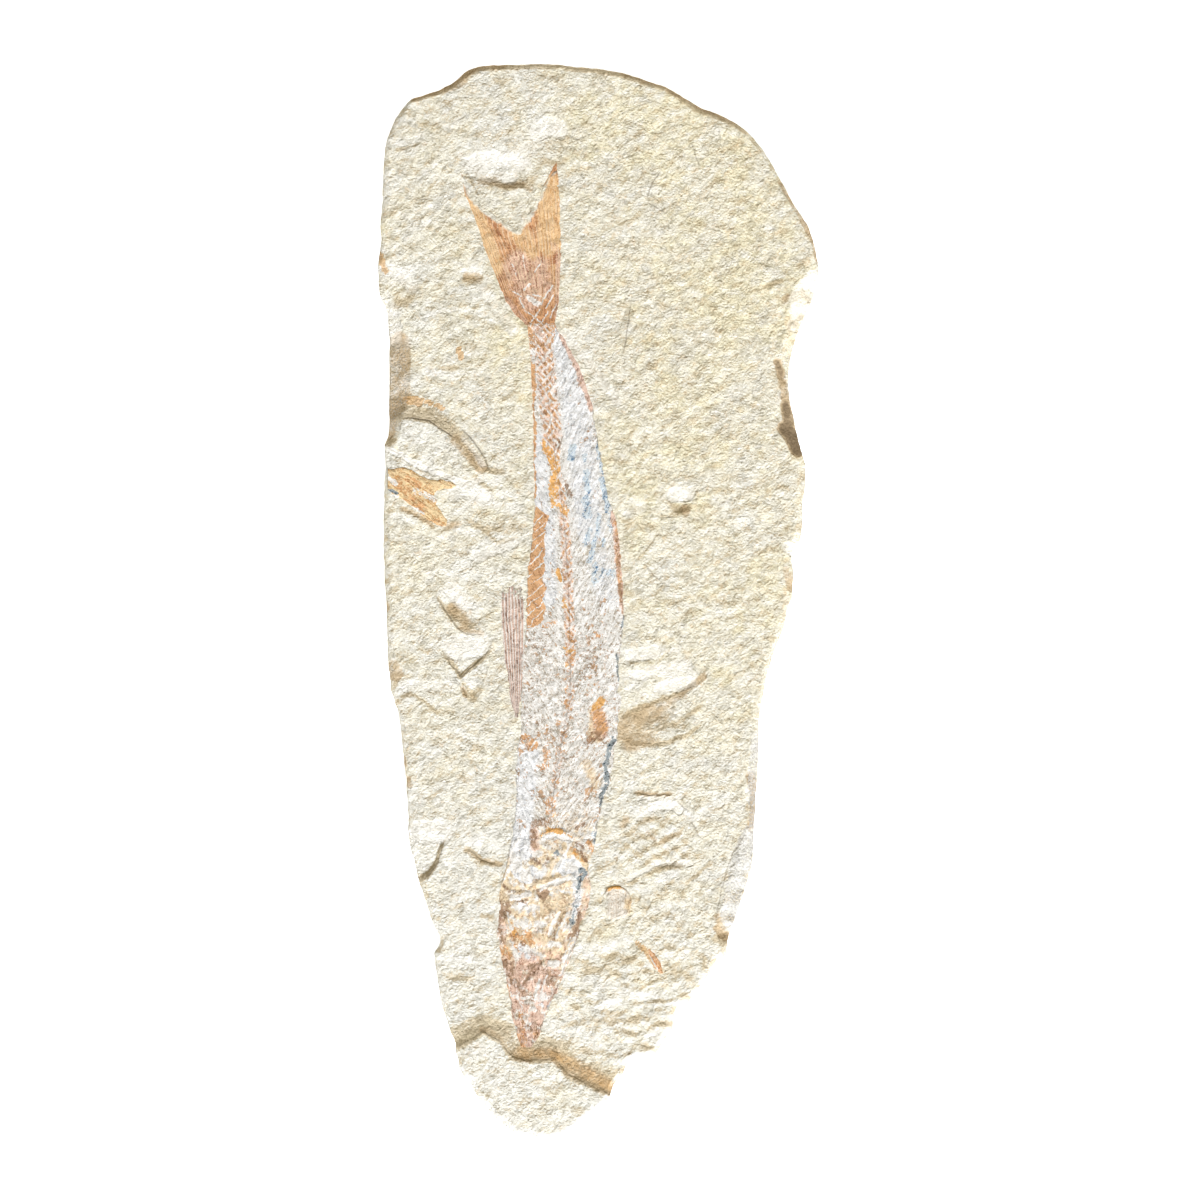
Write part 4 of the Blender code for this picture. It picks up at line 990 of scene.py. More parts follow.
def limestone_group():
    """Colour and grain of limestone from a place, shares of stains with painted shade and of chalky scrapes
    with painted highlights, its warmth and its climb.

    The side of a grain that faces away from the key lamp is found as grit here - grit a little further up
    the slab, plus the climb. That side gets painted shade in straw, and the other side a painted highlight
    in chalky white.
    """
    tree, given, wanted = new_group(
        "limestone", {"Place": "Vector"} | dict.fromkeys(("Stain and shade", "Chalk and highlight", "Warmth", "Climb"), "Float"),
        {"Colour": "Color", "Grain": "Float"})
    where, warm = given["Place"], given["Warmth"]
    turned = {"Vector": where, "Rotation": (0, 0, -PEEL_TURN), "Scale": (PEEL_STRETCH, 1, 1)}
    drawn = place(tree, "ShaderNodeMapping", turned, vector_type="TEXTURE").outputs[0]
    crumbs, sand = grit(tree, drawn, where)
    # grit a little further up the slab: where it is lower, this side of the grain faces away from the key
    # lamp and gets painted shade
    further = [on_vectors(tree, "ADD", spot, SHADE_SIDE_SHIFT) for spot in (drawn, where)]
    crumbs_above, sand_above = grit(tree, *further)
    grit_slope = weighted(tree, 0.0, (1, crumbs), (1, sand), (-1, crumbs_above), (-1, sand_above))
    # the ground drifts from pale to cream to yellow
    cloud, patch = noise(tree, where, 0.055), noise(tree, drawn, 0.22, 4, 0.65)
    yellow = weighted(tree, -1.9, (1.4, cloud), (2.4, patch), (1, warm))
    colour = blend(tree, step(tree, yellow, -0.1, 0.5), PALE, CREAM)
    colour = blend(tree, step(tree, yellow, 0.45, 1.1), colour, YELLOW)
    # painted shade and highlight: straw on the side of each grain that faces away from the key lamp and
    # where the face climbs towards the lamp, chalky white on the side that faces it, with ochre specks
    # between them
    mottle, blotch = noise(tree, where, 1.4, 4, 0.75), noise(tree, drawn, 0.55, 3, 0.6)
    painted_shade_side = weighted(tree, 0.17, (0.45, grit_slope), (-0.14, mottle), (-0.2, blotch), (0.65, given["Climb"]))
    colour = covered(tree, colour, STRAW_SHADE, step(tree, painted_shade_side, 0.0, 0.15), PAINTED_SHADE_AND_HIGHLIGHT)
    colour = covered(tree, colour, CHALK_AND_HIGHLIGHT, step(tree, painted_shade_side, 0.0, -0.15), PAINTED_SHADE_AND_HIGHLIGHT)
    specks = weighted(tree, noise(tree, drawn, 0.75, 4, 0.7), (0.05, warm))
    colour = covered(tree, colour, OCHRE, step(tree, specks, 0.58, 0.74), 0.5)
    # stains with painted shade, and chalky scrapes with painted highlights, torn where they are thin
    uneven = weighted(tree, -1.15, (0.7, sand), (1.6, patch))
    stain_and_shade = broken_up(tree, given["Stain and shade"], uneven)
    colour = covered(tree, colour, STAIN_AND_SHADE_TAN, step(tree, stain_and_shade, 0.05, 0.8), 0.9)
    colour = blend(tree, step(tree, stain_and_shade, 0.75, 1.5), colour, STAIN_AND_SHADE_BROWN)
    chalk_and_highlight = broken_up(tree, given["Chalk and highlight"], uneven)
    colour = covered(tree, colour, CHALK_AND_HIGHLIGHT, step(tree, chalk_and_highlight, 0.1, 1.3), 0.6)
    tree.links.new(colour, wanted["Colour"])
    # the grain is a little smoother where the face is stained or chalky, which takes in the strokes of
    # painted shade and highlight
    bent = pushed(tree, drawn, where, 1.2, 0.7)
    grain = weighted(tree, 0.0, (0.34, crumbs), (0.42, sand), (0.44, facets(tree, bent, 1.9)),
                     (0.38, facets(tree, bent, 0.8)), (0.5, noise(tree, where, 0.6, 3, 0.6)))
    worn = reckon(tree, "MAXIMUM", given["Stain and shade"], given["Chalk and highlight"])
    kept = weighted(tree, 1.0, (-0.3, step(tree, worn, 0.3, 1.0)))
    tree.links.new(reckon(tree, "MULTIPLY", grain, kept), wanted["Grain"])
    return tree


def finish_of(name, colour_and_grain, roughness=0.9):
    """A material whose colour and grain a function makes inside its node tree; grain is in millimetres."""
    made = bpy.data.materials.new(name)
    made.use_nodes = True
    tree = made.node_tree
    shader = tree.nodes["Principled BSDF"]
    colour, grain = colour_and_grain(tree)
    relief = place(tree, "ShaderNodeBump", {"Height": grain, "Distance": MM, "Strength": 1.0})
    tree.links.new(colour, shader.inputs["Base Color"])
    tree.links.new(relief.outputs["Normal"], shader.inputs["Normal"])
    shader.inputs["Roughness"].default_value = roughness
    shader.inputs["Specular IOR Level"].default_value = 0.25
    return made


limestone = limestone_group()


def bare_limestone(tree):
    """Limestone with the stains, chalky scrapes, cracks, painted shade, highlights and bounce light marked
    on the slab.
    """
    where = millimetres(tree)
    parts = use_group(tree, limestone, {
        "Place": where, "Stain and shade": mark(tree, "stain_and_shade"), "Chalk and highlight": mark(tree, "chalk_and_highlight"),
        "Warmth": mark(tree, "warmth"), "Climb": mark(tree, "climb"),
    })
    # iron marks: rust-orange iron, and at the cliff foot a soft band of painted bounce light
    iron_and_bounce = step(tree, broken_up(tree, mark(tree, "iron_and_bounce"), parts["Grain"]), 0.2, 0.9)
    colour = covered(tree, parts["Colour"], IRON_AND_BOUNCE, iron_and_bounce, 0.75)
    # grey marks: dusty grey of the rim facets, and painted shade on them
    speckle = weighted(tree, -1.6, (3.0, noise(tree, where, 2.6, 3, 0.7)))
    grey_shade_share = step(tree, broken_up(tree, mark(tree, "grey_and_shade"), speckle), 0.3, 1.2)
    colour = covered(tree, colour, GREY_SHADE, grey_shade_share, 0.9)
    # dark fine lines: cracks, and painted shade along ledge rims and chip creases
    on_dark_line = step(tree, reckon(tree, "ABSOLUTE", mark(tree, "crack_and_crease")), 2.2 * CRACK_AND_CREASE_WIDTH, 0.4 * CRACK_AND_CREASE_WIDTH)
    dark_line_share = reckon(tree, "MULTIPLY", on_dark_line, mark(tree, "crack_and_crease_darkness"))
    colour = covered(tree, colour, CRACK_AND_CREASE_SHADE_COLOUR, dark_line_share, 0.75)
    return colour, weighted(tree, parts["Grain"], (-0.12, dark_line_share))


slab.data.materials.append(finish_of("limestone_face", bare_limestone))
print("limestone nodes:", len(limestone.nodes))

# %% [markdown]
# ## Bone and skin as thin crusts
# A fossil like this is a film of bone and skin a few tenths of a millimetre thick that follows the stone it
# lies in. Each one is modelled as a crust: a fine grid a little wider than its ragged outline, proud of the
# stone inside that outline and sunk into the stone outside it. The border that shows is where the crust
# dives under the stone, so it comes out as uneven as a real one.

# %% Crusts
BASE_STRIDE = 5            # the base's grid is this much coarser than the lid's
DIVE = 0.4                 # how far a crust sinks outside its outline, in mm
BODY_PROUD, FIN_PROUD, SCRAP_PROUD = 0.06, 0.03, 0.10     # how far each kind stands out inside it, in mm


def crust(name, grid, relief, depth, proud, marks):
    """A closed sheet over the stone: a fine lid, a coarse flat base and a wall between their borders.

    Height = stone + relief + proud inside the outline, falling to stone - dive over three steps across it.
    """
    rows, columns = grid.shape[0] - 1, grid.shape[1] - 1
    base_rows, base_columns = rows // BASE_STRIDE, columns // BASE_STRIDE
    lid, base = grid.reshape(-1, 2), grid[::BASE_STRIDE, ::BASE_STRIDE].reshape(-1, 2)
    rise = smooth((depth + 1.2) / 3)
    top = ground_height(lid) + (rise * (relief + proud + DIVE) - DIVE) * MM
    bottom = np.full(len(base), top.min() - 0.2 * MM)
    faces = grid_faces(columns, rows) + grid_faces(base_columns, base_rows, len(lid), turned=True)
    faces += joined(border_ring(columns, rows), border_ring(base_columns, base_rows, len(lid)), BASE_STRIDE)
    marks = marks | {"warmth": warmth(lid)}
    padded = {mark: np.concatenate([values, np.zeros((len(base), *values.shape[1:]))])
              for mark, values in marks.items()}
    return make_piece(name, np.vstack([lid, base]), np.concatenate([top, bottom]), faces, padded)


def column_at(line, rows):
    """The column of a line that runs down the slab, at each row."""
    line = np.asarray(line, dtype=float)
    return np.interp(rows, line[:, 1], line[:, 0])


def strength_at(table, rows):
    """A strength read off (row, strength) pairs."""
    table = np.asarray(table, dtype=float)
    return np.interp(rows, table[:, 0], table[:, 1])


def strip_grid(left_line, right_line, levels, shares, margin=0.0):
    """A grid between two lines that run down the slab: column = left + share (right - left)."""
    left = column_at(left_line, levels) - margin
    right = column_at(right_line, levels) + margin
    columns = left[:, None] + (right - left)[:, None] * shares
    return np.dstack([columns, np.repeat(levels[:, None], len(shares), axis=1)])


def ridge(phase, width=0.5):
    """A row of narrow ridges, one for each whole number of the phase; width is their share of the pitch."""
    return smooth(1 - np.abs(phase - np.round(phase)) * 2 / width)


def in_mm(across, along, stretch=5.0):
    """Fibre coordinates for the finish: millimetres across the fibres, and along them drawn out."""
    return np.column_stack([across, along / stretch, np.zeros(len(across))]) * STEP / MM


# %% [markdown]
# ## The body
# From the tail to the skull the body is a strip of pale skin with a knobbly backbone. Rows of slanting ribs
# and fin supports leave it on both sides like the barbs of a feather, so heights and fibres are worked out
# from two numbers: the row, and how far a spot lies from the backbone. In the lower body rust flecks are
# what remains of the muscle bones. The skull is a jumble of thin bars, drawn as strokes.

# %% Body grid
BODY_COLUMNS, BODY_ROWS = 115, 670
BODY_MARGIN = 3.0
RIB_PITCH, RIB_LEAN = 9.2, 1.9
SPINE_STRENGTH = [
    (322, 0.9), (440, 0.9), (470, 0.5), (500, 0.8), (640, 0.8), (665, 0.45), (820, 0.4), (830, 0),
]
SPINE_WIDTH = [(322, 11), (436, 11), (455, 5), (500, 6), (640, 6), (700, 6), (830, 6)]
JAW_POINT = (528, 1090)    # the bars of the skull run towards here
SKULL_ROW = 838            # the skull starts near this row
LOWER_ROW, LOWER_FADE = 620, 40     # the crumbled lower body starts here and is full so many rows on
# Heights in mm: the body's dome, its backbone, the struts on it, its ribs, the folded fin's rays
DOME, SPINE_HEIGHT, STRUT_HEIGHT, RIB_HEIGHT, FOLDED_RAYS = 0.16, 0.05, 0.09, 0.05, 0.07
BAR_SCALE = 1.4            # the skull's bars and grooves stand this much taller than their strokes say


def body_grid():
    """Rows across the body from the snout end to the tail end, a little wider than its outline."""
    levels = np.linspace(BODY_LEFT[-1][1] + BODY_MARGIN, BODY_LEFT[0][1] - BODY_MARGIN, BODY_ROWS + 1)
    return strip_grid(BODY_LEFT, BODY_RIGHT, levels, np.linspace(0, 1, BODY_COLUMNS + 1), BODY_MARGIN)


def body_frame(spots):
    """Across and along the fibres, in steps: slanting from the backbone, then towards the jaw point."""
    rows = spots[:, 1]
    across = spots[:, 0] - column_at(BACKBONE, rows)
    length = np.hypot(1, RIB_LEAN)
    over = (rows + RIB_LEAN * np.abs(across)) / length + 400 * (across > 0)
    along = (np.abs(across) - RIB_LEAN * rows) / length
    offset = np.asarray(JAW_POINT) - spots
    turn = 110 * np.arctan2(offset[:, 0], offset[:, 1])
    skull = rows > SKULL_ROW + 5 * hills(spots, 9, 99)
    return np.where(skull, turn, over), np.where(skull, np.hypot(*offset.T), along)


print(f"body grid: {BODY_ROWS} by {BODY_COLUMNS} cells, ribs {RIB_PITCH * STEP / MM:.1f} mm apart")

# %% Body relief
# Raised bars of the skull: line, half width, border, height in mm
SKULL_BARS = [
    ((544, 836, 554, 831, 564, 833, 577, 838), 1.4, 2.5, 0.16),
    ((510, 846, 508, 868, 502, 884), 0.5, 1.6, 0.12), ((511, 863, 518, 874, 526, 886), 0.7, 1.8, 0.14),
    ((502, 885, 511, 892, 522, 892), 0.7, 1.8, 0.12), ((520, 858, 518, 868, 526, 879), 4.5, 5, 0.13),
    ((564, 850, 578, 856, 585, 865, 590, 873), 1.6, 2.5, 0.16), ((565, 853, 555, 874), 1, 2, 0.11),
    ((559, 850, 549, 868), 0.8, 2, 0.10), ((528, 887, 550, 879, 576, 876), 1.6, 2.5, 0.14),
    ((534, 893, 552, 886, 570, 882), 0.8, 2, 0.12), ((512, 897, 524, 894, 538, 897), 2.2, 2.5, 0.15),
    ((531, 902, 524, 908, 519, 916), 0.7, 1.6, 0.10), ((533, 902, 530, 918), 0.7, 1.6, 0.10),
    ((536, 902, 541, 918), 0.7, 1.6, 0.10), ((538, 900, 550, 912), 0.8, 1.6, 0.10),
    ((529, 900, 514, 904), 0.8, 1.8, 0.10), ((553, 913, 544, 936), 1.6, 2, 0.15),
    ((566, 915, 556, 941), 1.6, 2, 0.15), ((576, 905, 566, 930), 1.0, 2, 0.10),
    ((586, 926, 572, 953, 562, 982, 551, 1014, 536, 1040), 1.3, 2, 0.14),
    ((577, 930, 561, 962, 555, 985), 1.0, 2, 0.12), ((570, 945, 550, 985), 0.7, 1.8, 0.08),
    ((499, 912, 504, 945, 508, 975, 514, 1008, 522, 1044), 1.1, 2, 0.12),
    ((506, 916, 513, 940, 517, 972, 521, 1000), 0.8, 1.6, 0.12), ((518, 932, 528, 944), 3, 3, 0.08),
    ((540, 934, 556, 944), 4, 4, 0.09), ((502, 948, 515, 956), 4, 3, 0.09),
    ((518, 956, 534, 957), 2.5, 3, 0.10), ((545, 964, 559, 963), 3, 2.5, 0.14),
    ((539, 984, 533, 1010), 0.9, 2, 0.11), ((530, 975, 526, 1010), 0.7, 1.8, 0.08),
    ((545, 975, 539, 1000), 0.7, 1.8, 0.08), ((516, 985, 522, 1030), 0.7, 1.8, 0.08),
    ((531, 843, 535, 832, 540, 822), 2, 3, 0.10), ((524, 826, 514, 848), 0.7, 1.8, 0.08),
    ((582, 842, 592, 846, 590, 836, 580, 838), 0.9, 2, 0.10), ((543, 846, 560, 858), 0.8, 2, 0.08),
]
# The thin fin folded against the right edge, as a stroke
BORDER_FIN = ((614, 514, 617, 530, 619, 560, 622, 590, 624, 610), 3.2, 1.6, 1.0)
SKULL_GROOVES = [
    ((541, 962, 534, 971, 522, 984), 0.7, 1.6, 0.12), ((559, 914, 549, 936), 0.9, 1.8, 0.12),
    ((582, 922, 576, 930, 570, 938), 1.6, 2, 0.12), ((541, 948, 540, 962), 0.7, 1.6, 0.10),
    ((507, 958, 506, 977), 0.9, 1.8, 0.10), ((540, 890, 547, 897), 3, 3, 0.12),
    ((514, 890, 528, 890), 0.7, 1.8, 0.10), ((496, 905, 506, 912), 2, 3, 0.10),
    ((556, 872, 548, 876), 1, 2, 0.08), ((572, 894, 578, 912), 1.2, 2.5, 0.08),
]


def spine_net(spots):
    """Struts that cross in a row of X shapes along the backbone, from two slanting families of ridges."""
    rows = spots[:, 1]
    across = spots[:, 0] - column_at(BACKBONE, rows)
    first = ridge((rows + 1.05 * across) / RIB_PITCH + 0.55 * hills(spots, 10, 101, 2), 0.75)
    second = ridge((rows - 1.35 * across) / RIB_PITCH + 0.55 * hills(spots, 10, 104, 2), 0.75)
    kept = np.clip(0.75 + 0.9 * hills(spots, 7, 106), 0, 1)
    return np.maximum(first * kept, second * (1.15 - 0.6 * kept))


def spine_band(spots):
    """1 on the backbone, falling to 0 at its borders."""
    rows = spots[:, 1]
    away = np.abs(spots[:, 0] - column_at(BACKBONE, rows))
    return smooth(1.35 - away / strength_at(SPINE_WIDTH, rows)) * (rows < 835)


def body_relief(spots, depth):
    """Relief of the body in mm: dome + backbone + ribs + fibres + crumbled lower body + skull bars."""
    rows = spots[:, 1]
    across, along = body_frame(spots)
    skull = smooth((rows - 826) / 14)
    lower = smooth((rows - LOWER_ROW) / LOWER_FADE) * (1 - skull)
    spine, band, net = strength_at(SPINE_STRENGTH, rows), spine_band(spots), spine_net(spots)
    dome = DOME * smooth(depth / 14) * (1 - 0.4 * skull)
    backbone = spine * band * (SPINE_HEIGHT + STRUT_HEIGHT * net)
    phase = across * np.hypot(1, RIB_LEAN) / RIB_PITCH + 0.5 * hills(spots, 18, 103, 2)
    ribs = RIB_HEIGHT * ridge(phase, 0.8) * (1 - band) * (1 - skull) * (1 - 0.5 * lower)
    fibres = 0.07 * hills(np.column_stack([across, along / 5]), 2.6, 105, 2)
    fibres += 0.05 * hills(np.column_stack([across, along / 14]), 2.3, 107, 2)
    plates = 0.07 * hills(spots, 5.5, 109, 2) + 0.08 * (0.5 - np.abs(hills(spots, 9, 111, 2)))
    plates *= lower + 0.4 * skull
    uneven = warped(spots, 0.9, 5, 113)
    bars = painted(uneven, SKULL_BARS) - painted(uneven, SKULL_GROOVES)
    rough = (0.04 * skull + 0.09 * lower) * hills(spots, 3.6, 115, 2)
    rays = ridge((spots[:, 0] - 0.1 * rows) / 3 + 0.3 * hills(spots, 9, 129), 0.9)
    rays *= FOLDED_RAYS * painted(spots, [BORDER_FIN])
    fibres *= 1 - 0.5 * (lower + skull)
    return dome + backbone + ribs + fibres + plates + BAR_SCALE * bars + rough + rays


print(len(SKULL_BARS), "raised bars and", len(SKULL_GROOVES), "grooves on the skull")

# %% Body marks
FRAY = 2.2                 # marks on bone fade over borders this much wider, so that they can be torn
STRIP = [
    (534, 505), (533, 520), (531, 540), (529, 560), (526, 578), (526, 600), (527, 628), (534, 626),
    (541, 622), (546, 608), (543, 600), (546, 588), (542, 577), (545, 566), (543, 558), (546, 550),
    (544, 540), (545, 530), (547, 524), (549, 515), (544, 512),
]
RUST_MARKS = [
    ((532, 366, 533, 382, 532, 395), 2.4, 1.5, 1), ((533, 396, 533, 418), 0.9, 1.5, 0.8),
    ((533, 418, 534, 433), 1.8, 1.5, 0.95), ((534, 433, 534, 470, 534, 508), 0.8, 1.4, 0.9),
    ((530, 330, 531, 368), 0.9, 1.6, 0.6), ((596, 632, 600, 636), 1.5, 2, 0.6),
    ((594, 733, 590, 740), 2, 3, 0.7), ((604, 724, 598, 734), 1, 2, 0.6), ((536, 738, 526, 748), 1, 2, 0.7),
    ((566, 700, 568, 706), 2, 2, 0.7), ((572, 652, 573, 664), 2.5, 2, 0.8),
    ((569, 634, 572, 641), 2.5, 2, 0.8), ((544, 625, 555, 622), 1.5, 2, 0.6),
    ((552, 800, 548, 812), 2, 3, 0.6), ((515, 944, 517, 953), 1.2, 2, 0.8),
    ((505, 981, 510, 1000), 0.8, 2, 0.6), ((536, 1032, 538, 1042), 1.8, 2.5, 0.7),
    ((518, 1036, 522, 1048), 1.5, 2.2, 0.65), ((590, 846, 593, 851), 1.2, 2, 0.6),
    ((547, 752, 545, 770), 2, 3, 0.55), ((599, 716, 601, 731), 5, 2.2, 0.7),
    ((526, 739, 532, 745), 4.6, 2, 0.85), ((529, 322, 533, 342), 3, 5, 0.7),
    ((551, 322, 548, 342), 2.5, 5, 0.65), ((593, 716, 602, 722), 2.5, 3, 0.7),
    ((589, 842, 593, 851), 1.6, 2, 0.8), ((572, 849, 580, 854, 586, 862), 1.2, 2, 0.65),
    ((514, 936, 524, 942), 3, 3, 0.65), ((526, 932, 532, 942), 2.4, 3, 0.6),
    ((504, 950, 508, 958), 3, 3, 0.6), ((522, 1012, 524, 1044), 1.5, 3, 0.55),
    ((616, 522, 618, 560, 621, 600), 0.7, 2.4, 0.62),
]
ORANGE_MARKS = [
    ((544, 442, 548, 453), 2.2, 2, 0.8), ((550, 452, 554, 464, 556, 470), 4, 2, 0.8),
    ((556, 470, 555, 478), 1.8, 2, 0.75), ((554, 480, 554, 494), 4.4, 2, 0.8),
    ((554, 496, 553, 506), 1.2, 1.6, 0.8), ((560, 506, 565, 511), 3.2, 1.8, 0.85),
    ((558, 571, 560, 579), 1.8, 1.2, 1), ((565, 600, 566, 606), 1.8, 2, 0.6),
    ((594, 708, 603, 700), 2.4, 2, 0.85), ((566, 649, 572, 652), 1.8, 1.6, 0.8),
    ((567, 665, 570, 667), 1.5, 1.6, 0.5), ((548, 822, 553, 814), 1.2, 2, 0.5),
    ((549, 830, 560, 832), 2.2, 1.4, 1.2), ((512, 924, 515, 933), 1.4, 2, 0.55),
    ((540, 836, 547, 832, 555, 830), 0.3, 1.3, 0.75), ((562, 833, 574, 837), 0.3, 1.3, 0.7),
    ((573, 853, 583, 860), 0.8, 1.8, 0.6),
]
TAN_MARKS = [
    ((586, 764, 592, 776, 596, 784), 4, 4, 0.7), ((531, 863, 537, 865), 2, 2, 1.1),
    ((563, 845, 566, 850), 2.4, 2, 1), ((541, 881, 558, 876), 2.6, 3, 1),
    ((534, 886, 546, 884), 3.2, 3, 0.8), ((531, 902, 521, 916), 0.8, 1.5, 1.1),
    ((534, 903, 530, 918), 0.8, 1.5, 1.1), ((536, 903, 538, 920), 0.8, 1.5, 1.1),
    ((540, 903, 544, 919), 0.8, 1.5, 1.1), ((541, 902, 549, 913), 0.8, 1.5, 1.1),
    ((511, 913, 518, 914), 2, 2.5, 0.8), ((517, 939, 521, 938), 2.8, 2.2, 1.1),
    ((529, 937, 530, 942), 2.8, 2.2, 1.2), ((550, 954, 559, 949), 4, 3, 1.1),
    ((564, 916, 555, 934), 1.6, 2, 1), ((550, 925, 548, 940), 2, 3, 0.9),
    ((552, 888, 568, 884), 2.5, 3, 0.7), ((570, 890, 564, 900), 4, 4, 0.6),
    ((562, 985, 556, 970), 2, 3, 0.7), ((585, 930, 565, 972), 1.5, 2.5, 0.6),
    ((496, 856, 508, 862), 3, 4, 0.7), ((570, 851, 577, 854, 583, 859, 586, 866), 2.6, 2, 1.4),
    ((506, 953, 508, 949), 4, 3, 1.2), ((597, 714, 596, 735), 6, 4, 1.1),
]
UMBER_MARKS = [
    ((620, 586, 623, 602, 625, 624), 1.4, 1.6, 0.9), ((557, 440, 558, 447), 2, 2, 0.9),
    ((566, 484, 571, 495), 1.6, 2, 0.65), ((597, 736, 588, 742), 2, 3, 0.7),
    ((622, 598, 626, 614), 1.6, 2, 0.8), ((536, 824, 546, 823), 3, 3, 0.7),
    ((576, 827, 585, 824), 1, 2.2, 0.7), ((511, 856, 512, 863), 1.1, 1.6, 0.75),
    ((514, 868, 520, 875, 526, 885), 0.3, 1.1, 0.75), ((502, 884, 508, 891, 519, 891), 0.6, 1.3, 0.85),
    ((511, 899, 514, 900, 528, 900), 0.6, 1.4, 0.65), ((500, 909, 507, 904), 2.6, 2.5, 0.95),
    ((493, 917, 500, 911), 1.1, 2, 0.8), ((561, 918, 555, 930, 553, 938), 0.8, 1.4, 0.75),
    ((580, 922, 576, 929, 570, 938), 1.4, 1.8, 1.15), ((506, 961, 504, 976), 1.4, 1.8, 0.95),
    ((512, 963, 513, 977), 0.9, 1.8, 0.8), ((541, 962, 534, 968, 530, 974, 524, 983), 0.7, 1.4, 1.1),
    ((541, 950, 540, 961), 0.5, 1.5, 0.7), ((538, 1036, 533, 1046), 0.9, 2, 0.7),
    ((577, 846, 581, 850), 0.4, 1.2, 0.7), ((592, 735, 588, 741), 1.4, 2.2, 0.85),
    ((493, 908, 499, 905, 506, 913), 2.2, 4, 1.2), ((578, 912, 582, 924, 579, 938), 1.2, 3, 1.15),
    ((570, 936, 580, 926), 1.2, 2.6, 0.9), ((497, 924, 503, 940), 1.2, 3, 0.8),
    ((594, 732, 601, 736), 2, 4, 0.7), ((539, 891, 546, 892, 544, 898, 540, 894), 1.8, 1.6, 1.3),
    ((577, 850, 584, 856, 588, 865), 0.7, 1.8, 0.75), ((533, 832, 534, 845), 1.6, 3, 0.75),
    ((532, 859, 538, 862), 1.4, 2.4, 0.8), ((577, 842, 583, 848), 0.5, 1.4, 0.9),
    ((549, 858, 544, 868), 0.5, 1.6, 0.7), ((516, 940, 524, 944), 1.4, 2.4, 0.7),
    ((505, 960, 510, 976, 519, 984), 2.4, 4, 0.62), ((532, 968, 546, 968, 550, 982), 3, 4, 0.55),
    ((520, 990, 530, 1000), 3, 4, 0.5), ((524, 1022, 540, 1030), 3, 4, 0.45),
    ((617, 536, 619, 572), 0.4, 2, 0.55),
]
BLUE_MARKS = [
    ((584, 456, 585, 462), 1.2, 1.6, 0.8), ((586, 500, 588, 515), 2.4, 2.5, 0.8),
    ((598, 443, 600, 458, 603, 472), 1, 1.6, 0.8), ((603, 538, 604, 546), 0.9, 1.5, 0.9),
    ((585, 545, 590, 530), 1, 2, 0.6), ((596, 578, 602, 572, 612, 574), 3, 4, 0.4),
    ((567, 974, 561, 990, 557, 1002), 0.6, 1.8, 0.55), ((593, 834, 596, 842), 1, 1.6, 0.8),
    ((607, 505, 609, 530), 1.2, 2, 0.8), ((599, 516, 594, 545, 589, 562), 0.9, 2, 0.85),
    ((596, 566, 593, 584), 1.4, 3, 0.6), ((602, 480, 606, 492, 608, 503), 2.4, 1.6, 1.6),
    ((586, 472, 588, 492), 1.3, 2, 1), ((573, 447, 571, 458), 1.8, 1.4, 1.6),
]
INK_MARKS = [
    ((613, 738, 613, 744, 616, 740), 0.4, 1.2, 0.7), ((624, 616, 622, 626), 0.8, 1.6, 0.6),
    ((574, 874, 576, 876), 0.8, 1.4, 0.85), ((579, 883, 577, 886), 0.6, 1.2, 0.9),
    ((576, 891, 577, 894, 580, 899), 0.4, 1.4, 0.75), ((574, 905, 578, 905), 0.8, 1.5, 0.85),
    ((575, 914, 571, 929), 0.5, 1.8, 0.6), ((505, 858, 507, 859), 0.7, 1.4, 0.8),
    ((560, 826, 564, 830), 0.4, 1.2, 0.6), ((580, 871, 584, 872), 0.8, 1.6, 0.85),
    ((578, 878, 582, 876), 0.6, 1.4, 0.8), ((614, 738, 609, 750, 606, 761), 1.1, 1.8, 0.9),
    ((606, 761, 606, 774, 608, 783), 1.4, 1.8, 0.9), ((608, 783, 602, 792, 600, 806), 1, 1.8, 0.85),
    ((617, 655, 618, 668, 619, 680), 0.9, 1.5, 0.9), ((577, 905, 573, 914, 571, 924), 0.7, 1.6, 0.8),
    ((555, 853, 558, 852), 0.7, 1.4, 1), ((581, 869, 585, 873, 581, 880, 578, 886), 0.9, 1.8, 1),
    ((595, 834, 596, 842), 1.2, 1.6, 1.1),
]
MAUVE_MARKS = [
    BORDER_FIN, ((534, 830, 535, 852), 3, 3, 0.8), ((534, 968, 545, 976), 6, 5, 0.9),
    ((506, 960, 513, 978), 5, 4, 0.8), ((584, 876, 590, 890, 584, 912, 579, 930), 3.5, 6, 0.65),
    ((501, 914, 503, 942), 4, 6, 0.65), ((557, 326, 567, 346, 579, 373, 592, 408), 1.8, 2, 1.1),
    ((598, 714, 601, 732), 6, 4, 0.9),
]
COOL_MARKS = [
    ((560, 335, 572, 370, 576, 420, 584, 470, 590, 530), 10, 8, 0.9), ((541, 440, 541, 500), 6, 4, 0.9),
    ((548, 512, 549, 540, 549, 600), 5, 5, 0.8), ((528, 755, 524, 800, 520, 850), 8, 6, 0.9),
    ((600, 570, 608, 600), 8, 8, 0.6), ((598, 560, 604, 580), 8, 6, 0.6), ((524, 826, 520, 850), 7, 5, 0.9),
    ((533, 872, 540, 876), 4, 3, 0.9), ((574, 874, 578, 890, 575, 912), 3, 3, 0.9),
    ((522, 950, 530, 956), 4.2, 3, 1.1), ((543, 996, 546, 1002), 4, 3.5, 0.8),
    ((528, 853, 519, 856, 515, 864, 519, 873, 527, 878), 4, 2, 1.6), ((564, 867, 576, 865), 6, 3, 1.5),
    ((521, 905, 534, 910), 4, 3, 0.8), ((540, 998, 548, 1004), 4, 3, 0.9),
]
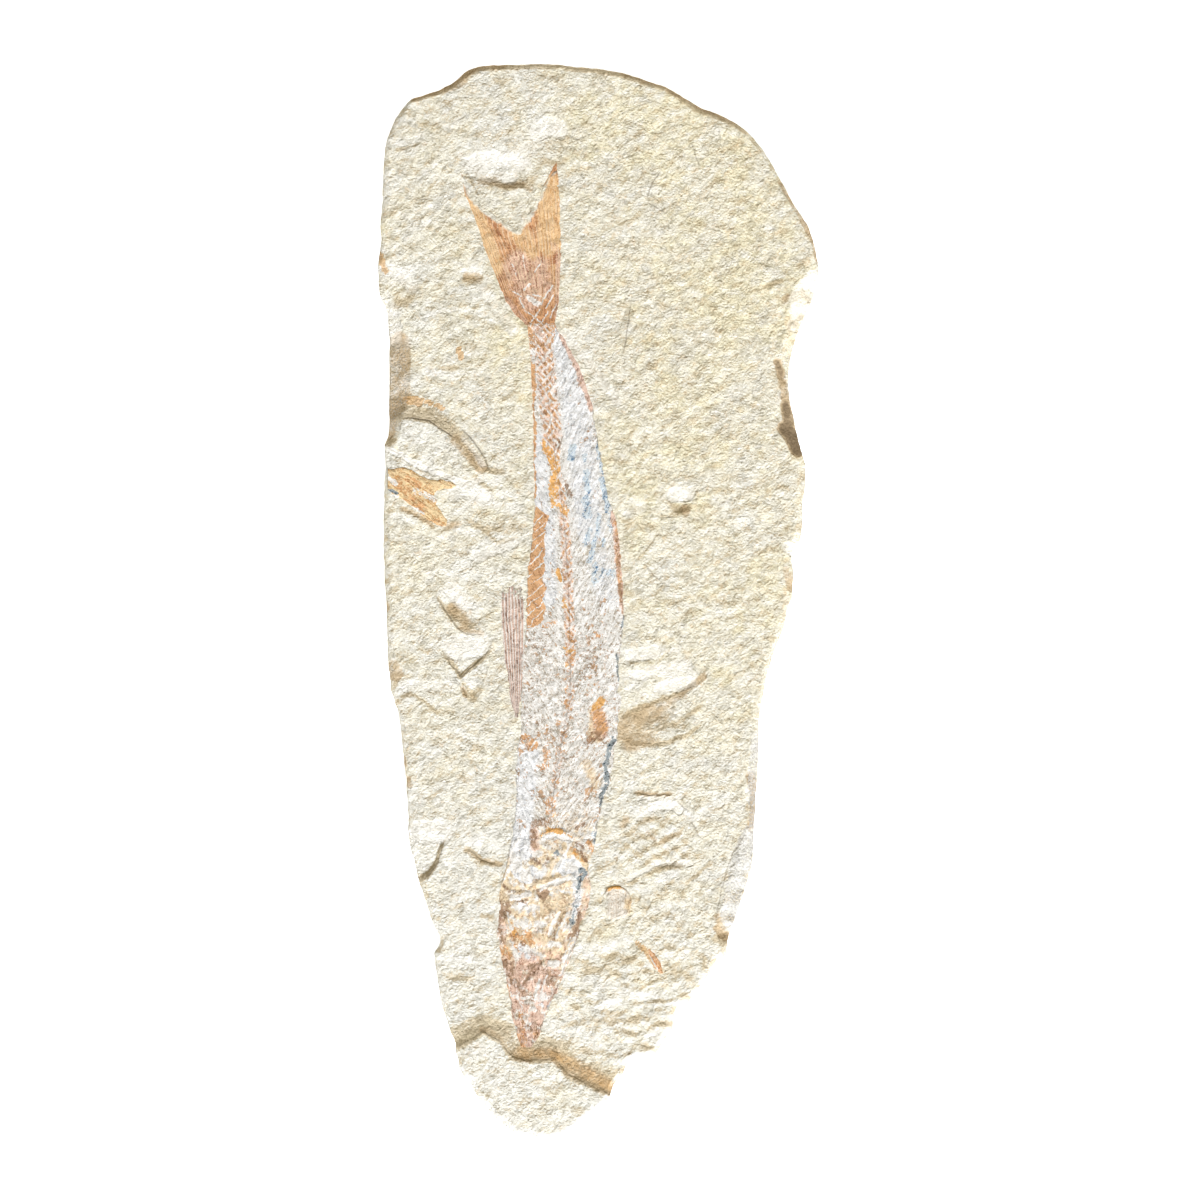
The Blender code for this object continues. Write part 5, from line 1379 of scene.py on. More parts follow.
WHITE_MARKS = [
    ((607, 515, 608, 545), 1.5, 2, 0.7), ((543, 839, 552, 836, 562, 837, 570, 839), 1.2, 1.6, 1),
    ((519, 838, 514, 846, 510, 856), 0.5, 1.4, 0.9), ((519, 857, 518, 866, 525, 876), 1.2, 2.2, 0.85),
    ((534, 854, 540, 853), 1.4, 2, 0.9), ((536, 870, 540, 874), 1.6, 2.5, 0.6),
    ((569, 846, 565, 853, 558, 866, 553, 875), 0.5, 1.2, 1.1), ((569, 866, 573, 869), 2, 2.5, 1),
    ((579, 871, 577, 881, 575, 889), 0.3, 1.2, 0.9),
    ((541, 888, 551, 884, 562, 880, 575, 877), 1.3, 1.8, 0.95),
    ((512, 866, 518, 872, 524, 881), 0.4, 1.1, 1.1), ((509, 868, 505, 880), 0.4, 1.2, 0.8),
    ((512, 897, 520, 896, 530, 893), 1.6, 1.6, 1.1), ((514, 907, 519, 907), 1.5, 2, 0.9),
    ((526, 908, 536, 907), 1.8, 2.5, 0.85), ((517, 923, 528, 925), 2.2, 2.5, 0.85),
    ((535, 924, 544, 924), 1.6, 2.2, 0.85), ((560, 891, 573, 893), 1, 1.8, 0.7),
    ((559, 912, 553, 924, 549, 934), 0.6, 1.3, 1.1), ((567, 913, 562, 922, 556, 936), 0.5, 1.2, 1.1),
    ((551, 943, 559, 944), 2, 2.2, 1), ((551, 963, 557, 963), 2.2, 1.8, 1.3),
    ((524, 948, 528, 951), 1.6, 2.2, 0.7), ((539, 980, 535, 998), 0.5, 1.2, 1.1),
    ((547, 975, 541, 993), 0.4, 1.2, 0.9), ((540, 994, 546, 996), 1.6, 2.4, 0.7),
    ((576, 936, 566, 962, 561, 975), 0.5, 1.3, 0.95), ((571, 938, 563, 962), 0.4, 1.3, 0.8),
    ((507, 914, 512, 929), 0.6, 1.4, 0.8), ((515, 980, 522, 1012), 0.3, 1.2, 0.6),
    ((530, 1008, 526, 1030), 0.3, 1.2, 0.6), ((520, 1002, 540, 1004), 0.4, 1.4, 0.6),
    ((530, 749, 539, 738), 0.2, 1.2, 0.8), ((524, 747, 532, 737), 0.2, 1.2, 0.6),
    ((514, 858, 517, 868, 528, 877), 2.2, 2.5, 1.1), ((566, 866, 576, 867), 2.5, 2.5, 1),
    ((513, 948, 518, 956), 1.6, 2, 0.9), ((534, 950, 541, 956), 1.6, 2, 0.8),
    ((512, 996, 546, 1000), 0.5, 1.6, 0.7),
]
FLECK_DENSITY = [
    (322, 0.2), (440, 0.15), (500, 0.35), (620, 0.6), (650, 1.0), (800, 0.9), (840, 0.0), (1048, 0.0),
]
LOOSENESS = [
    (322, 0.35), (600, 0.35), (650, 0.7), (735, 0.7), (755, 0.4), (835, 0.35), (870, 0.7), (1048, 0.75),
]
TAN_LEVEL = [(600, 0), (650, 0.2), (800, 0.2), (845, 0.55), (880, 0.8), (960, 0.8), (985, 0.4), (1048, 0.4)]
MAUVE_LEVEL = [(860, 0), (900, 0.25), (940, 0.35), (970, 0.9), (1048, 1.0)]
BODY_STROKES = {
    "rust": RUST_MARKS, "orange": ORANGE_MARKS, "tan": TAN_MARKS, "umber": UMBER_MARKS, "blue": BLUE_MARKS,
    "ink": INK_MARKS, "mauve": MAUVE_MARKS, "cool": COOL_MARKS, "white": WHITE_MARKS,
}


def body_marks(spots, depth):
    """Shares of every colour on the body, its flecks, and how much bare stone shows at its border.

    A colour is where its strokes are or where a rule puts it: rust and umber between the backbone's struts
    and on the strip beside it, white on the struts and fine lines, tan and mauve over the skull.
    """
    rows = spots[:, 1]
    uneven = warped(spots, 1.9, 4.5, 117)
    paint = {name: painted(uneven, strokes, FRAY) for name, strokes in BODY_STROKES.items()}
    spine, net = strength_at(SPINE_STRENGTH, rows) * spine_band(spots), spine_net(spots)
    strip = smooth((depth_inside(uneven, STRIP) + 0.8) / 1.6)
    slant = (uneven[:, 1] + 0.95 * (uneven[:, 0] - 535)) / 10 + 0.35 * hills(spots, 16, 119)
    lines = ridge(slant, 0.2) * np.clip(0.9 + 1.2 * hills(spots, 9, 120), 0, 1)
    patchy = 0.5 + 0.5 * hills(spots, 8, 121, 2)
    triangles = spine * (1 - net) * np.clip(0.1 + 1.4 * patchy, 0, 1.1) * (1 - strip)
    tinted = (1 - np.clip(paint["cool"], 0, 1)) * np.clip(0.97 + 1.1 * hills(spots, 5, 143, 2), 0, 1.2)
    flushed = strength_at(MAUVE_LEVEL, rows) * np.clip(0.88 + 1.3 * hills(spots, 4, 145, 2), 0.1, 1.2)
    by_rule = {
        "rust": np.maximum(strip * (1 - 0.85 * lines), triangles),
        "tan": strength_at(TAN_LEVEL, rows) * tinted,
        "umber": 0.42 * triangles,
        "mauve": np.maximum(flushed, spine),
        "white": np.maximum(strip * lines, 0.75 * spine * net),
    }
    clear = smooth((4 - depth) / 5) * (0.55 + 0.9 * hills(spots, 6, 123, 2))
    return {name: np.maximum(share, by_rule.get(name, 0)) for name, share in paint.items()} | {
        "fleck": strength_at(FLECK_DENSITY, rows) * (0.75 + 0.5 * hills(spots, 16, 125)),
        "bare": np.clip(clear - np.maximum(paint["rust"], paint["mauve"]), 0, 1),
        "loose": strength_at(LOOSENESS, rows),
        "fibre": in_mm(*body_frame(spots)),
    }


def outline_depth(spots, outline, amount=1.3):
    """Depth inside an outline that has been made ragged."""
    return depth_inside(warped(spots, amount, 5, 127), outline)


grid = body_grid()
spots = grid.reshape(-1, 2)
depth = outline_depth(spots, BODY_LEFT + BODY_RIGHT[::-1])
depth += 2.2 * smooth((spots[:, 1] - LOWER_ROW) / LOWER_FADE) * hills(spots, 15, 128, 2)
body = crust("fish_skin_and_bone", grid, body_relief(spots, depth), depth, BODY_PROUD,
             body_marks(spots, depth))

# %% [markdown]
# ## The tail fin
# The tail fin is a forked fan of about twenty-six rust coloured rays that spread from the end of the
# backbone. Its grid is a patch between four border lines, so one of its two directions runs along the rays
# and a row of ridges across it makes them. The rays split in two towards the hind edge, as real ones do.

# %% Tail fin
TAIL_COLUMNS, TAIL_ROWS = 180, 160
RAYS = 26
TAIL_RAY_HEIGHT, KNOT_HEIGHT = 0.085, 0.05     # in mm
TAIL_WIDE_LEFT = [
    (522, 330), (511, 316), (501, 301), (491, 276), (481, 251), (471, 221), (461, 196), (458, 168),
]
TAIL_WIDE_RIGHT = [(558, 330), (563, 300), (565, 270), (565, 240), (564, 200), (561, 154)]
TAIL_WIDE_HIND = [
    (458, 168), (474, 186), (484, 201), (499, 212), (510, 219), (517, 223), (526, 208), (536, 189),
    (545, 171), (561, 154),
]
TAIL_SHOWN = [
    (526, 326), (515, 315), (505, 300), (495, 275), (485, 250), (475, 220), (465, 195), (461, 172),
    (472, 191), (482, 206), (498, 217), (510, 225), (517, 230), (529, 213), (540, 193), (548, 176),
    (557, 160), (560, 200), (561, 240), (561, 270), (559, 300), (555, 326),
]
TAIL_MAUVE = [
    ((518, 262, 526, 284, 531, 300), 5, 14, 1.0), ((540, 266, 545, 290), 4, 12, 0.85),
    ((508, 268, 518, 292), 2, 10, 0.7), ((500, 216, 512, 226), 3, 7, 0.6),
    ((553, 245, 560, 262), 2, 4, 0.6), ((559, 256, 557, 316), 1.5, 4, 0.8),
    ((506, 300, 524, 322), 2, 5, 0.7), ((463, 176, 468, 196), 0.8, 1.8, 0.8),
]
TAIL_GOLD = [
    ((470, 198, 485, 240, 494, 268), 4, 10, 1), ((556, 180, 558, 245), 3, 5, 0.6),
    ((549, 185, 548, 225, 548, 245), 6, 10, 0.8), ((527, 293, 540, 296), 4, 5, 0.9),
    ((555, 268, 558, 300), 2, 4, 0.5), ((520, 234, 530, 250), 5, 9, 0.7),
]
TAIL_PALE = [
    ((466, 178, 472, 190, 478, 200), 1.5, 2.5, 0.8), ((529, 298, 538, 304), 1.6, 3, 0.9),
    ((510, 290, 521, 296), 0.2, 1.1, 0.8), ((541, 304, 548, 292, 553, 286), 0.2, 1, 0.9),
    ((546, 308, 554, 294), 0.2, 1, 0.8), ((535, 272, 541, 262), 0.2, 1, 0.7),
    ((519, 298, 527, 314), 0.2, 1.1, 0.8), ((528, 312, 540, 322), 0.2, 1.1, 0.8),
    ((540, 310, 530, 324), 0.2, 1.1, 0.8), ((548, 312, 541, 324), 0.2, 1.1, 0.8),
    ((524, 290, 530, 284), 0.4, 1.4, 0.7), ((516, 276, 512, 264), 0.2, 1, 0.6),
    ((525, 270, 523, 255), 0.2, 1, 0.6), ((533, 294, 543, 298), 0.2, 1, 0.8),
    ((550, 318, 556, 304), 0.2, 1, 0.7),
]


def tail_relief(spots, u, v):
    """Relief of the tail fin in mm: rays that split towards the hind edge, a knot of struts at the base."""
    bend = 0.10 * hills(spots, 12, 131)
    split = smooth((v - 0.45) / 0.3)
    rays = (1 - 0.45 * split) * ridge(u * RAYS + bend, 0.75)
    rays += 0.45 * split * ridge(2 * u * RAYS + bend, 0.9)
    broken = 0.75 + 0.5 * hills(np.column_stack([u * RAYS * 3, v * 26]), 2.2, 133)
    base = smooth((spots[:, 1] - 288) / 14)
    x, y = spots.T
    knot = ridge((y + 1.1 * x) / 8.5) + ridge((y - 1.1 * x) / 9.5)
    fibres = 0.05 * hills(np.column_stack([u * RAYS * 3.2, v * 40]), 2.4, 135, 2)
    fibres += 0.03 * hills(spots, 4, 137)
    rays = np.clip(rays * broken, 0, 1)
    relief = TAIL_RAY_HEIGHT * rays * (1 - base) + KNOT_HEIGHT * base * knot + fibres
    return relief, rays * (1 - 0.6 * base)


def tail_fin():
    """The tail fin as a patch between its two leading edges, its base and its hind edge."""
    left = resampled(TAIL_WIDE_LEFT, TAIL_ROWS)
    right = resampled(TAIL_WIDE_RIGHT, TAIL_ROWS)
    low = resampled([left[0], right[0]], TAIL_COLUMNS)
    grid = stretched(resampled(TAIL_WIDE_HIND, TAIL_COLUMNS), right, low, left)
    spots = grid.reshape(-1, 2)
    u = np.tile(np.linspace(0, 1, TAIL_COLUMNS + 1), TAIL_ROWS + 1)
    v = np.repeat(np.linspace(0, 1, TAIL_ROWS + 1), TAIL_COLUMNS + 1)
    depth = outline_depth(spots, TAIL_SHOWN, 0.7) + 0.8
    hind = np.minimum(from_line(spots, TAIL_HIND, 40)[0], 40)
    relief, rays = tail_relief(spots, u, v)
    tip = 0.4 * smooth((196 - spots[:, 1]) / 18) * smooth((spots[:, 0] - 535) / 10)
    uneven = warped(spots, 0.8, 5, 139)
    marks = {
        "ray": rays,
        "mauve": 0.95 * painted(uneven, TAIL_MAUVE),
        "gold": painted(uneven, TAIL_GOLD),
        "white": painted(uneven, TAIL_PALE),
        "fleck": 0.8 * smooth((spots[:, 1] - 250) / 40) - 0.3 * smooth((500 - spots[:, 0]) / 20),
        "bare": np.clip(smooth((9 - hind) / 11) * (0.9 + 0.5 * hills(spots, 6, 141, 2)) - tip, 0, 1),
        "fibre": in_mm(u * 90, v * 150, 6),
    }
    return crust("tail_fin_rays", grid, relief, depth, FIN_PROUD, marks)


tail = tail_fin()

# %% [markdown]
# ## The small fin, the flakes and the shell
# The small fin lies apart from the body: seven dark rays between pale ones. The two flakes are scraps of
# ochre bone with streaks along them, and the disc is a thin round shell with an orange rim. Their grids are
# plain rectangles, and the outline alone decides where the crust comes out of the stone.

# %% Small pieces
FIN_RAYS = 8
FIN_COLUMNS, FIN_ROWS = 60, 200
FIN_LOW, FIN_TOP = 721, 580        # rows where the small fin's grid ends
FIN_MARGIN = 0.16                  # how far it reaches past the fin's sides, as a share of its width
SHELL_BOX, SHELL_CELLS = (44, 48), (80, 80)
SHELL_RIM = 0.90                   # where the shell's rim runs, as a share of its radius
FIN_RAY_HEIGHT, RIM_HEIGHT = 0.12, 0.20     # in mm


def box_grid(centre, width, length, columns, rows):
    """A rectangular grid around a centre, from its low edge upwards, and the offsets from the centre."""
    v, u = np.mgrid[0.5:-0.5:complex(rows + 1), -0.5:0.5:complex(columns + 1)]
    x, y = u * width, v * length
    return np.dstack([centre[0] + x, centre[1] + y]), x.ravel(), y.ravel()


def small_fin():
    """The belly fin: rays side by side, a little closer together at the lower end."""
    share = np.linspace(-FIN_MARGIN, 1 + FIN_MARGIN, FIN_COLUMNS + 1)
    grid = strip_grid(FIN_LEFT, FIN_RIGHT, np.linspace(FIN_LOW, FIN_TOP, FIN_ROWS + 1), share)
    spots = grid.reshape(-1, 2)
    u, y = np.tile(share, FIN_ROWS + 1), spots[:, 1]
    depth = outline_depth(spots, FIN_LEFT + FIN_RIGHT[::-1], 1.2)
    rays = ridge(u * FIN_RAYS + 0.25 * hills(spots, 14, 151, 2) + 0.5, 0.75)
    fibres = 0.05 * hills(np.column_stack([u * 24, y / 6]), 2.2, 153, 2)
    fade = np.clip(1.2 * smooth((607 - y) / 24) + 0.5 * smooth((y - 700) / 24), 0, 1)
    faded = fade * (0.8 + 1.2 * hills(spots, 6, 155, 2))
    marks = {
        "ray": rays,
        "fleck": np.full(len(spots), 0.25),
        "bare": np.clip(faded + 0.4 * smooth((1.0 - depth) / 2), 0, 1),
        "fibre": in_mm(u * 24, y, 6),
    }
    relief = (FIN_RAY_HEIGHT * rays + fibres) * (1 - fade)
    return crust("belly_fin_rays", grid, relief, depth, FIN_PROUD * (1 - fade), marks)


def streaky_flake(name, outline, centre, size, cells, turn, strokes):
    """A scrap of bone: streaks along one direction over low hills, with painted strokes of some colours."""
    grid, _, _ = box_grid(centre, *size, *cells)
    spots = grid.reshape(-1, 2)
    lean = np.radians(turn)
    along = (spots - centre) @ (np.cos(lean), np.sin(lean))
    over = (spots - centre) @ (-np.sin(lean), np.cos(lean)) + 1.5 * hills(spots, 14, 161)
    depth = outline_depth(spots, outline, 1.2)
    streaks = 0.09 * hills(np.column_stack([over, along / 5]), 2.6, 163, 2)
    plates = 0.10 * (0.5 - np.abs(hills(spots, 8, 165, 2)))
    uneven = warped(spots, 1.2, 5, 167)
    marks = {
        "fleck": np.full(len(spots), 0.5),
        "bare": 0.5 * smooth((1.5 - depth) / 2.5) * (0.8 + hills(spots, 6, 169, 2)),
        "fibre": in_mm(over, along, 5),
    }
    marks |= {colour: painted(uneven, lines) for colour, lines in strokes.items()}
    return crust(name, grid, streaks + plates + 0.06 * smooth(depth / 6), depth, SCRAP_PROUD, marks)


def shell():
    """A thin round shell: a raised rim at its upper and right side and faint growth rings inside."""
    grid, x, y = box_grid(DISC_CENTRE, *SHELL_BOX, *SHELL_CELLS)
    spots = grid.reshape(-1, 2)
    depth = outline_depth(spots, ellipse(DISC_CENTRE, DISC_RADII), 1.0)
    radius = np.hypot(x / DISC_RADII[0], y / DISC_RADII[1])
    angle = np.degrees(np.arctan2(-y, x))
    rim = smooth(1 - np.abs(radius - SHELL_RIM) / 0.13)
    lit = smooth((angle + 60) / 30) * smooth((150 - angle) / 30)
    rings = 0.02 * np.sin(radius * 34 + 1.5 * hills(spots, 12, 171)) * smooth((radius - 0.3) / 0.3)
    grain = 0.04 * hills(spots, 3.5, 173, 2) + 0.04 * (0.5 - np.abs(hills(spots, 8, 175, 2)))
    top = smooth(1 - np.abs(angle - 95) / 50)
    right = smooth(1 - np.abs(angle + 5) / 55)
    kept = np.maximum(top, right) * smooth((radius - 0.6) / 0.2)
    marks = {
        "orange": 1.2 * top * smooth(1.3 - np.abs(radius - SHELL_RIM) / 0.14),
        "tan": 1.3 * right * smooth(1.3 - np.abs(radius - 0.80) / 0.32),
        "bare": (0.2 + 0.6 * smooth(-x / DISC_RADII[0])) * (1 - kept),
        "fibre": in_mm(x, y, 3),
    }
    return crust("round_shell", grid, RIM_HEIGHT * rim * lit + rings + grain, depth, SCRAP_PROUD, marks)


fin = small_fin()
flake_strokes = {
    "white": [
        ((386, 495, 397, 497), 1.2, 2, 0.9), ((386, 476, 396, 484), 1.6, 2, 0.8),
        ((414, 490, 420, 493, 436, 499), 1.5, 3, 0.6),
        ((400, 500, 412, 506, 424, 514), 0.4, 1.2, 0.8),
    ],
    "rust": [
        ((396, 484, 404, 489, 412, 492), 2.5, 5, 0.5), ((408, 479, 418, 485), 2, 4, 0.55),
        ((408, 498, 422, 508), 2.5, 4, 0.6), ((432, 520, 440, 524), 1.5, 4, 0.45),
    ],
    "ink": [
        ((386, 490, 392, 491, 397, 493), 0.8, 1.4, 1.0), ((388, 493, 395, 497), 0.3, 1.0, 0.7),
        ((414, 513, 426, 521, 438, 527, 445, 528), 0.4, 1.6, 0.45),
    ],
}
splinter_strokes = {
    "white": [((644, 948, 652, 960, 659, 974), 0.2, 0.9, 0.9)],
    "rust": [((656, 952, 664, 970), 1.5, 2.5, 0.5)],
    "bare": [],            # no stone shows through it
}
flake = streaky_flake("ochre_flake", FLAKE, (424, 497), (72, 70), (120, 115), 36, flake_strokes)
splinter = streaky_flake("rusty_splinter", SPLINTER, (656, 961), (30, 40), (50, 70), 62, splinter_strokes)
round_shell = shell()

# %% [markdown]
# ## The look of old bone
# Bone and skin of this age are off-white threads with darker gaps, stained by iron in every shade from
# orange to dark brown. The finish mixes a light and a dark tone by a noise that is drawn out along the
# fibres, and then lays each marked colour over that. A second noise tears the borders of the marks, because
# a stain follows the grain of the bone and never ends in a smooth line.

# %% Old bone
FLECK_RUST, FLECK_BROWN = (0.66, 0.37, 0.17, 1), (0.36, 0.23, 0.135, 1)
# Marked colours: light tone, dark tone, how much covers, and where its torn border starts and ends
LAYERS = {
    "cool": ((0.97, 0.985, 1.0, 1), (0.58, 0.61, 0.65, 1), 0.9, 0.15, 0.8),
    "tan": ((0.93, 0.75, 0.49, 1), (0.60, 0.40, 0.22, 1), 0.9, 0.1, 1.0),
    "mauve": ((0.87, 0.61, 0.475, 1), (0.42, 0.20, 0.13, 1), 0.85, 0.2, 0.9),
    "gold": ((0.98, 0.69, 0.38, 1), (0.80, 0.47, 0.21, 1), 0.95, 0.05, 0.9),
    "rust": ((0.82, 0.47, 0.225, 1), (0.50, 0.24, 0.11, 1), 0.95, 0.30, 0.60),
    "orange": ((0.93, 0.54, 0.20, 1), (0.72, 0.34, 0.10, 1), 1.0, 0.32, 0.62),
    "umber": ((0.42, 0.27, 0.17, 1), (0.16, 0.09, 0.05, 1), 0.85, 0.25, 0.65),
    "blue": ((0.74, 0.84, 0.91, 1), (0.08, 0.21, 0.38, 1), 0.95, 0.1, 0.6),
    "white": ((1.0, 0.985, 0.95, 1), (0.90, 0.865, 0.79, 1), 0.95, 0.25, 0.6),
    "ink": ((0.36, 0.41, 0.43, 1), (0.035, 0.055, 0.07, 1), 1.0, 0.30, 0.60),
}
SOFT_TEAR = 0.45           # colours under the rays are torn so much less than those over them
RAY_COVER = 0.8            # how much of the bone a pale ray covers


def strand(tree, cloud, level, outer, inner):
    """A winding strand where a noise passes a level: 1 within `inner` of it, 0 beyond `outer`."""
    return step(tree, reckon(tree, "ABSOLUTE", reckon(tree, "SUBTRACT", cloud, level)), outer, inner)


def old_bone_group():
    """Noises of old bone from a place and fibre coordinates: a tone, a ragged one, flecks and a grain.

    Every part is a noise along the fibres, which a noise without direction replaces where bone is loose.
    """
    tree, given, wanted = new_group(
        "old bone", {"Place": "Vector", "Fibre": "Vector", "Fleck": "Float", "Loose": "Float"},
        dict.fromkeys(("Tone", "Ragged", "Flecks", "Fleck tone", "Grain"), "Float"))
    where, loose = given["Place"], given["Loose"]
    fibre = pushed(tree, given["Fibre"], where, 0.55, 0.9)
    drawn_out = place(tree, "ShaderNodeMapping", {"Vector": fibre, "Scale": (1, 0.36, 1)}).outputs[0]
    threads = mixed(tree, loose, noise(tree, fibre, 2.7, 4, 0.65), noise(tree, where, 2.0, 4, 0.7))
    long_threads = mixed(tree, loose, noise(tree, drawn_out, 3.4), noise(tree, fibre, 1.6, 3, 0.6))
    fine = noise(tree, where, 3.6, 3, 0.65)
    bent = pushed(tree, where, where, 1.5, 0.9)
    shards = place(tree, "ShaderNodeTexVoronoi", {"Vector": bent, "Scale": 2.1}).outputs["Color"]
    curls = strand(tree, noise(tree, fibre, 1.35, 2, 0.5, 0.6), 0.5, 0.07, 0.015)
    loops = strand(tree, noise(tree, where, 1.3, 2, 0.6), 0.47, 0.05, 0.01)
    strands = reckon(tree, "MAXIMUM", curls, loops)
    tone = weighted(tree, -0.105, (0.14, shards), (0.13, strands), (0.012, loose),
                    (0.40, threads), (0.34, long_threads), (0.26, fine))
    clouds = mixed(tree, loose, noise(tree, fibre, 1.5, 3, 0.6, 0.6), noise(tree, where, 1.9, 4, 0.7, 0.5))
    clouds = mixed(tree, 0.4, clouds, noise(tree, where, 1.2, 4, 0.7, 0.3))
    flecks = step(tree, weighted(tree, clouds, (0.075, given["Fleck"])), 0.58, 0.63)
    ragged = weighted(tree, 0.0, (0.55, noise(tree, where, 1.9, 5, 0.75, 0.4)),
                      (0.45, noise(tree, fibre, 2.4, 4, 0.7)))
    chips = reckon(tree, "MULTIPLY", facets(tree, where, 1.7), weighted(tree, 0.1, (0.5, loose)))
    grain = weighted(tree, chips, (0.26, threads), (0.18, long_threads), (0.20, fine), (-0.03, flecks),
                     (0.07, strands))
    results = {"Tone": tone, "Ragged": ragged, "Flecks": flecks, "Grain": grain,
               "Fleck tone": noise(tree, where, 0.8, 3)}
    for name, result in results.items():
        tree.links.new(result, wanted[name])
    return tree


old_bone = old_bone_group()
print("old bone nodes:", len(old_bone.nodes))


def laid_over(tree, colour, name, tone, tear):
    """One marked colour laid over another, torn at its border and mottled by the tone of the bone."""
    light, dark, amount, start, end = LAYERS[name]
    torn = step(tree, broken_up(tree, mark(tree, name), tear), start, end)
    return covered(tree, colour, blend(tree, tone, dark, light), torn, amount)


def bone_look(light, dark, under, over, ray, fleck_cover, fray):
    """Colour and grain of a fossil: two tones, marked colours, rays, flecks, more colours, bare stone."""
    def look(tree):
        """Adds the nodes of this look to a material."""
        where = millimetres(tree)
        bone = use_group(tree, old_bone, {
            "Place": where, "Fibre": mark(tree, "fibre", "Vector"), "Fleck": mark(tree, "fleck"),
            "Loose": mark(tree, "loose"),
        })
        stone = use_group(tree, limestone, {"Place": where, "Warmth": mark(tree, "warmth")})
        tone = step(tree, bone["Tone"], 0.40, 0.53)
        tear = weighted(tree, -3.0, (6.0, bone["Ragged"]))
        soft_tear = reckon(tree, "MULTIPLY", tear, SOFT_TEAR)
        colour = blend(tree, tone, dark, light)
        for name in under:
            colour = laid_over(tree, colour, name, tone, soft_tear)
        if ray:
            share = step(tree, weighted(tree, mark(tree, "ray"), (1.2, bone["Tone"])), 0.75, 1.55)
            colour = covered(tree, colour, ray, share, RAY_COVER)
        brown = blend(tree, step(tree, bone["Fleck tone"], 0.4, 0.6), FLECK_BROWN, FLECK_RUST)
        colour = covered(tree, colour, brown, bone["Flecks"], fleck_cover)
        for name in over:
            colour = laid_over(tree, colour, name, tone, tear)
        bare = broken_up(tree, mark(tree, "bare"), reckon(tree, "MULTIPLY", tear, fray))
        bare = step(tree, bare, 0.3, 0.7)
        colour = blend(tree, bare, colour, stone["Colour"])
        return colour, mixed(tree, bare, bone["Grain"], stone["Grain"])
    return look


# %% Finishes of the fossils
# Piece, finish, light tone, dark tone, colours under the rays, colours over them, tone of the rays, how
# much flecks cover, how torn the border with bare stone is, roughness
FINISHES = [
    (body, "skin_and_bone", (0.98, 0.97, 0.94, 1), (0.50, 0.445, 0.36, 1), ("cool", "tan", "mauve"),
     ("rust", "orange", "umber", "blue", "white", "ink"), None, 0.85, 1.0, 0.75),
    (tail, "rust_rays", (0.77, 0.42, 0.21, 1), (0.44, 0.19, 0.09, 1), ("gold", "mauve"), ("white",),
     (0.98, 0.76, 0.53, 1), 0.35, 0.15, 0.75),
    (fin, "pink_rays", (0.76, 0.56, 0.46, 1), (0.29, 0.175, 0.13, 1), (), (), (1.0, 0.99, 0.955, 1),
     0.5, 1.0, 0.75),
    (flake, "ochre_bone", (0.95, 0.74, 0.44, 1), (0.66, 0.36, 0.14, 1), (), ("rust", "white", "ink"), None,
     0.4, 1.0, 0.75),
    (splinter, "red_bone", (0.93, 0.60, 0.36, 1), (0.66, 0.31, 0.14, 1), (), ("rust", "white"), None,
     0.3, 0.3, 0.75),
    (round_shell, "shell", (0.95, 0.89, 0.79, 1), (0.82, 0.71, 0.57, 1), ("tan",), ("orange",), None,
     0.0, 0.15, 0.7),
]
for piece, name, light, dark, under, over, ray, fleck_cover, fray, roughness in FINISHES:
    look = bone_look(light, dark, under, over, ray, fleck_cover, fray)
    piece.data.materials.append(finish_of(name, look, roughness))
print("finishes of bone and shell:", len(FINISHES))

# %% [markdown]
# ## Pieces ride on the frame
# Every dressed piece replaces the plain solid that it was modelled on, and the name of its finish slot is
# printed.

# %% Riding pieces
def dress(piece, node, slot):
    """Tie a finished piece to the frame in place of its plain solid."""
    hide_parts(node)
    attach(piece, "root")
    print(f"{piece.name} stands for {node} in the slot {slot}")


dress(slab, "slab", "limestone")
dress(body, "fish_body", "bone_and_skin")
dress(tail, "tail_fin", "rust_bone")
dress(fin, "belly_fin", "rust_bone")
dress(flake, "bone_flake", "ochre_bone")
dress(splinter, "bone_splinter", "ochre_bone")
dress(round_shell, "shell_disc", "shell")

# %% [markdown]
# ## Floor, light and camera
# The slab lies on a pale table and the camera looks straight down on it. Shallow relief only shows under
# light that comes from low at one side, so the key lamp stands beyond the snout end, a little to the
# right, and the rest of the room gives a soft, warm fill.

# %% Floor, light and camera
FLOOR_SIZE = 3.0
LENS, SENSOR = 100.0, 36.0
FRAME_SIZE = 1200
KEY_FROM = Vector((0.25, -0.95, 0.80))
KEY_DISTANCE, KEY_SIZE, KEY_POWER = 3.0, 0.55, 122.5
FILL_COLOUR, FILL_STRENGTH = (1.0, 0.87, 0.62, 1), 0.32
KEY_COLOUR = (0.985, 1.0, 1.05)
FLOOR_COLOUR, FLOOR_GLOW, FLOOR_ROUGHNESS = (0.93, 0.93, 0.93, 1), 0.9, 0.8


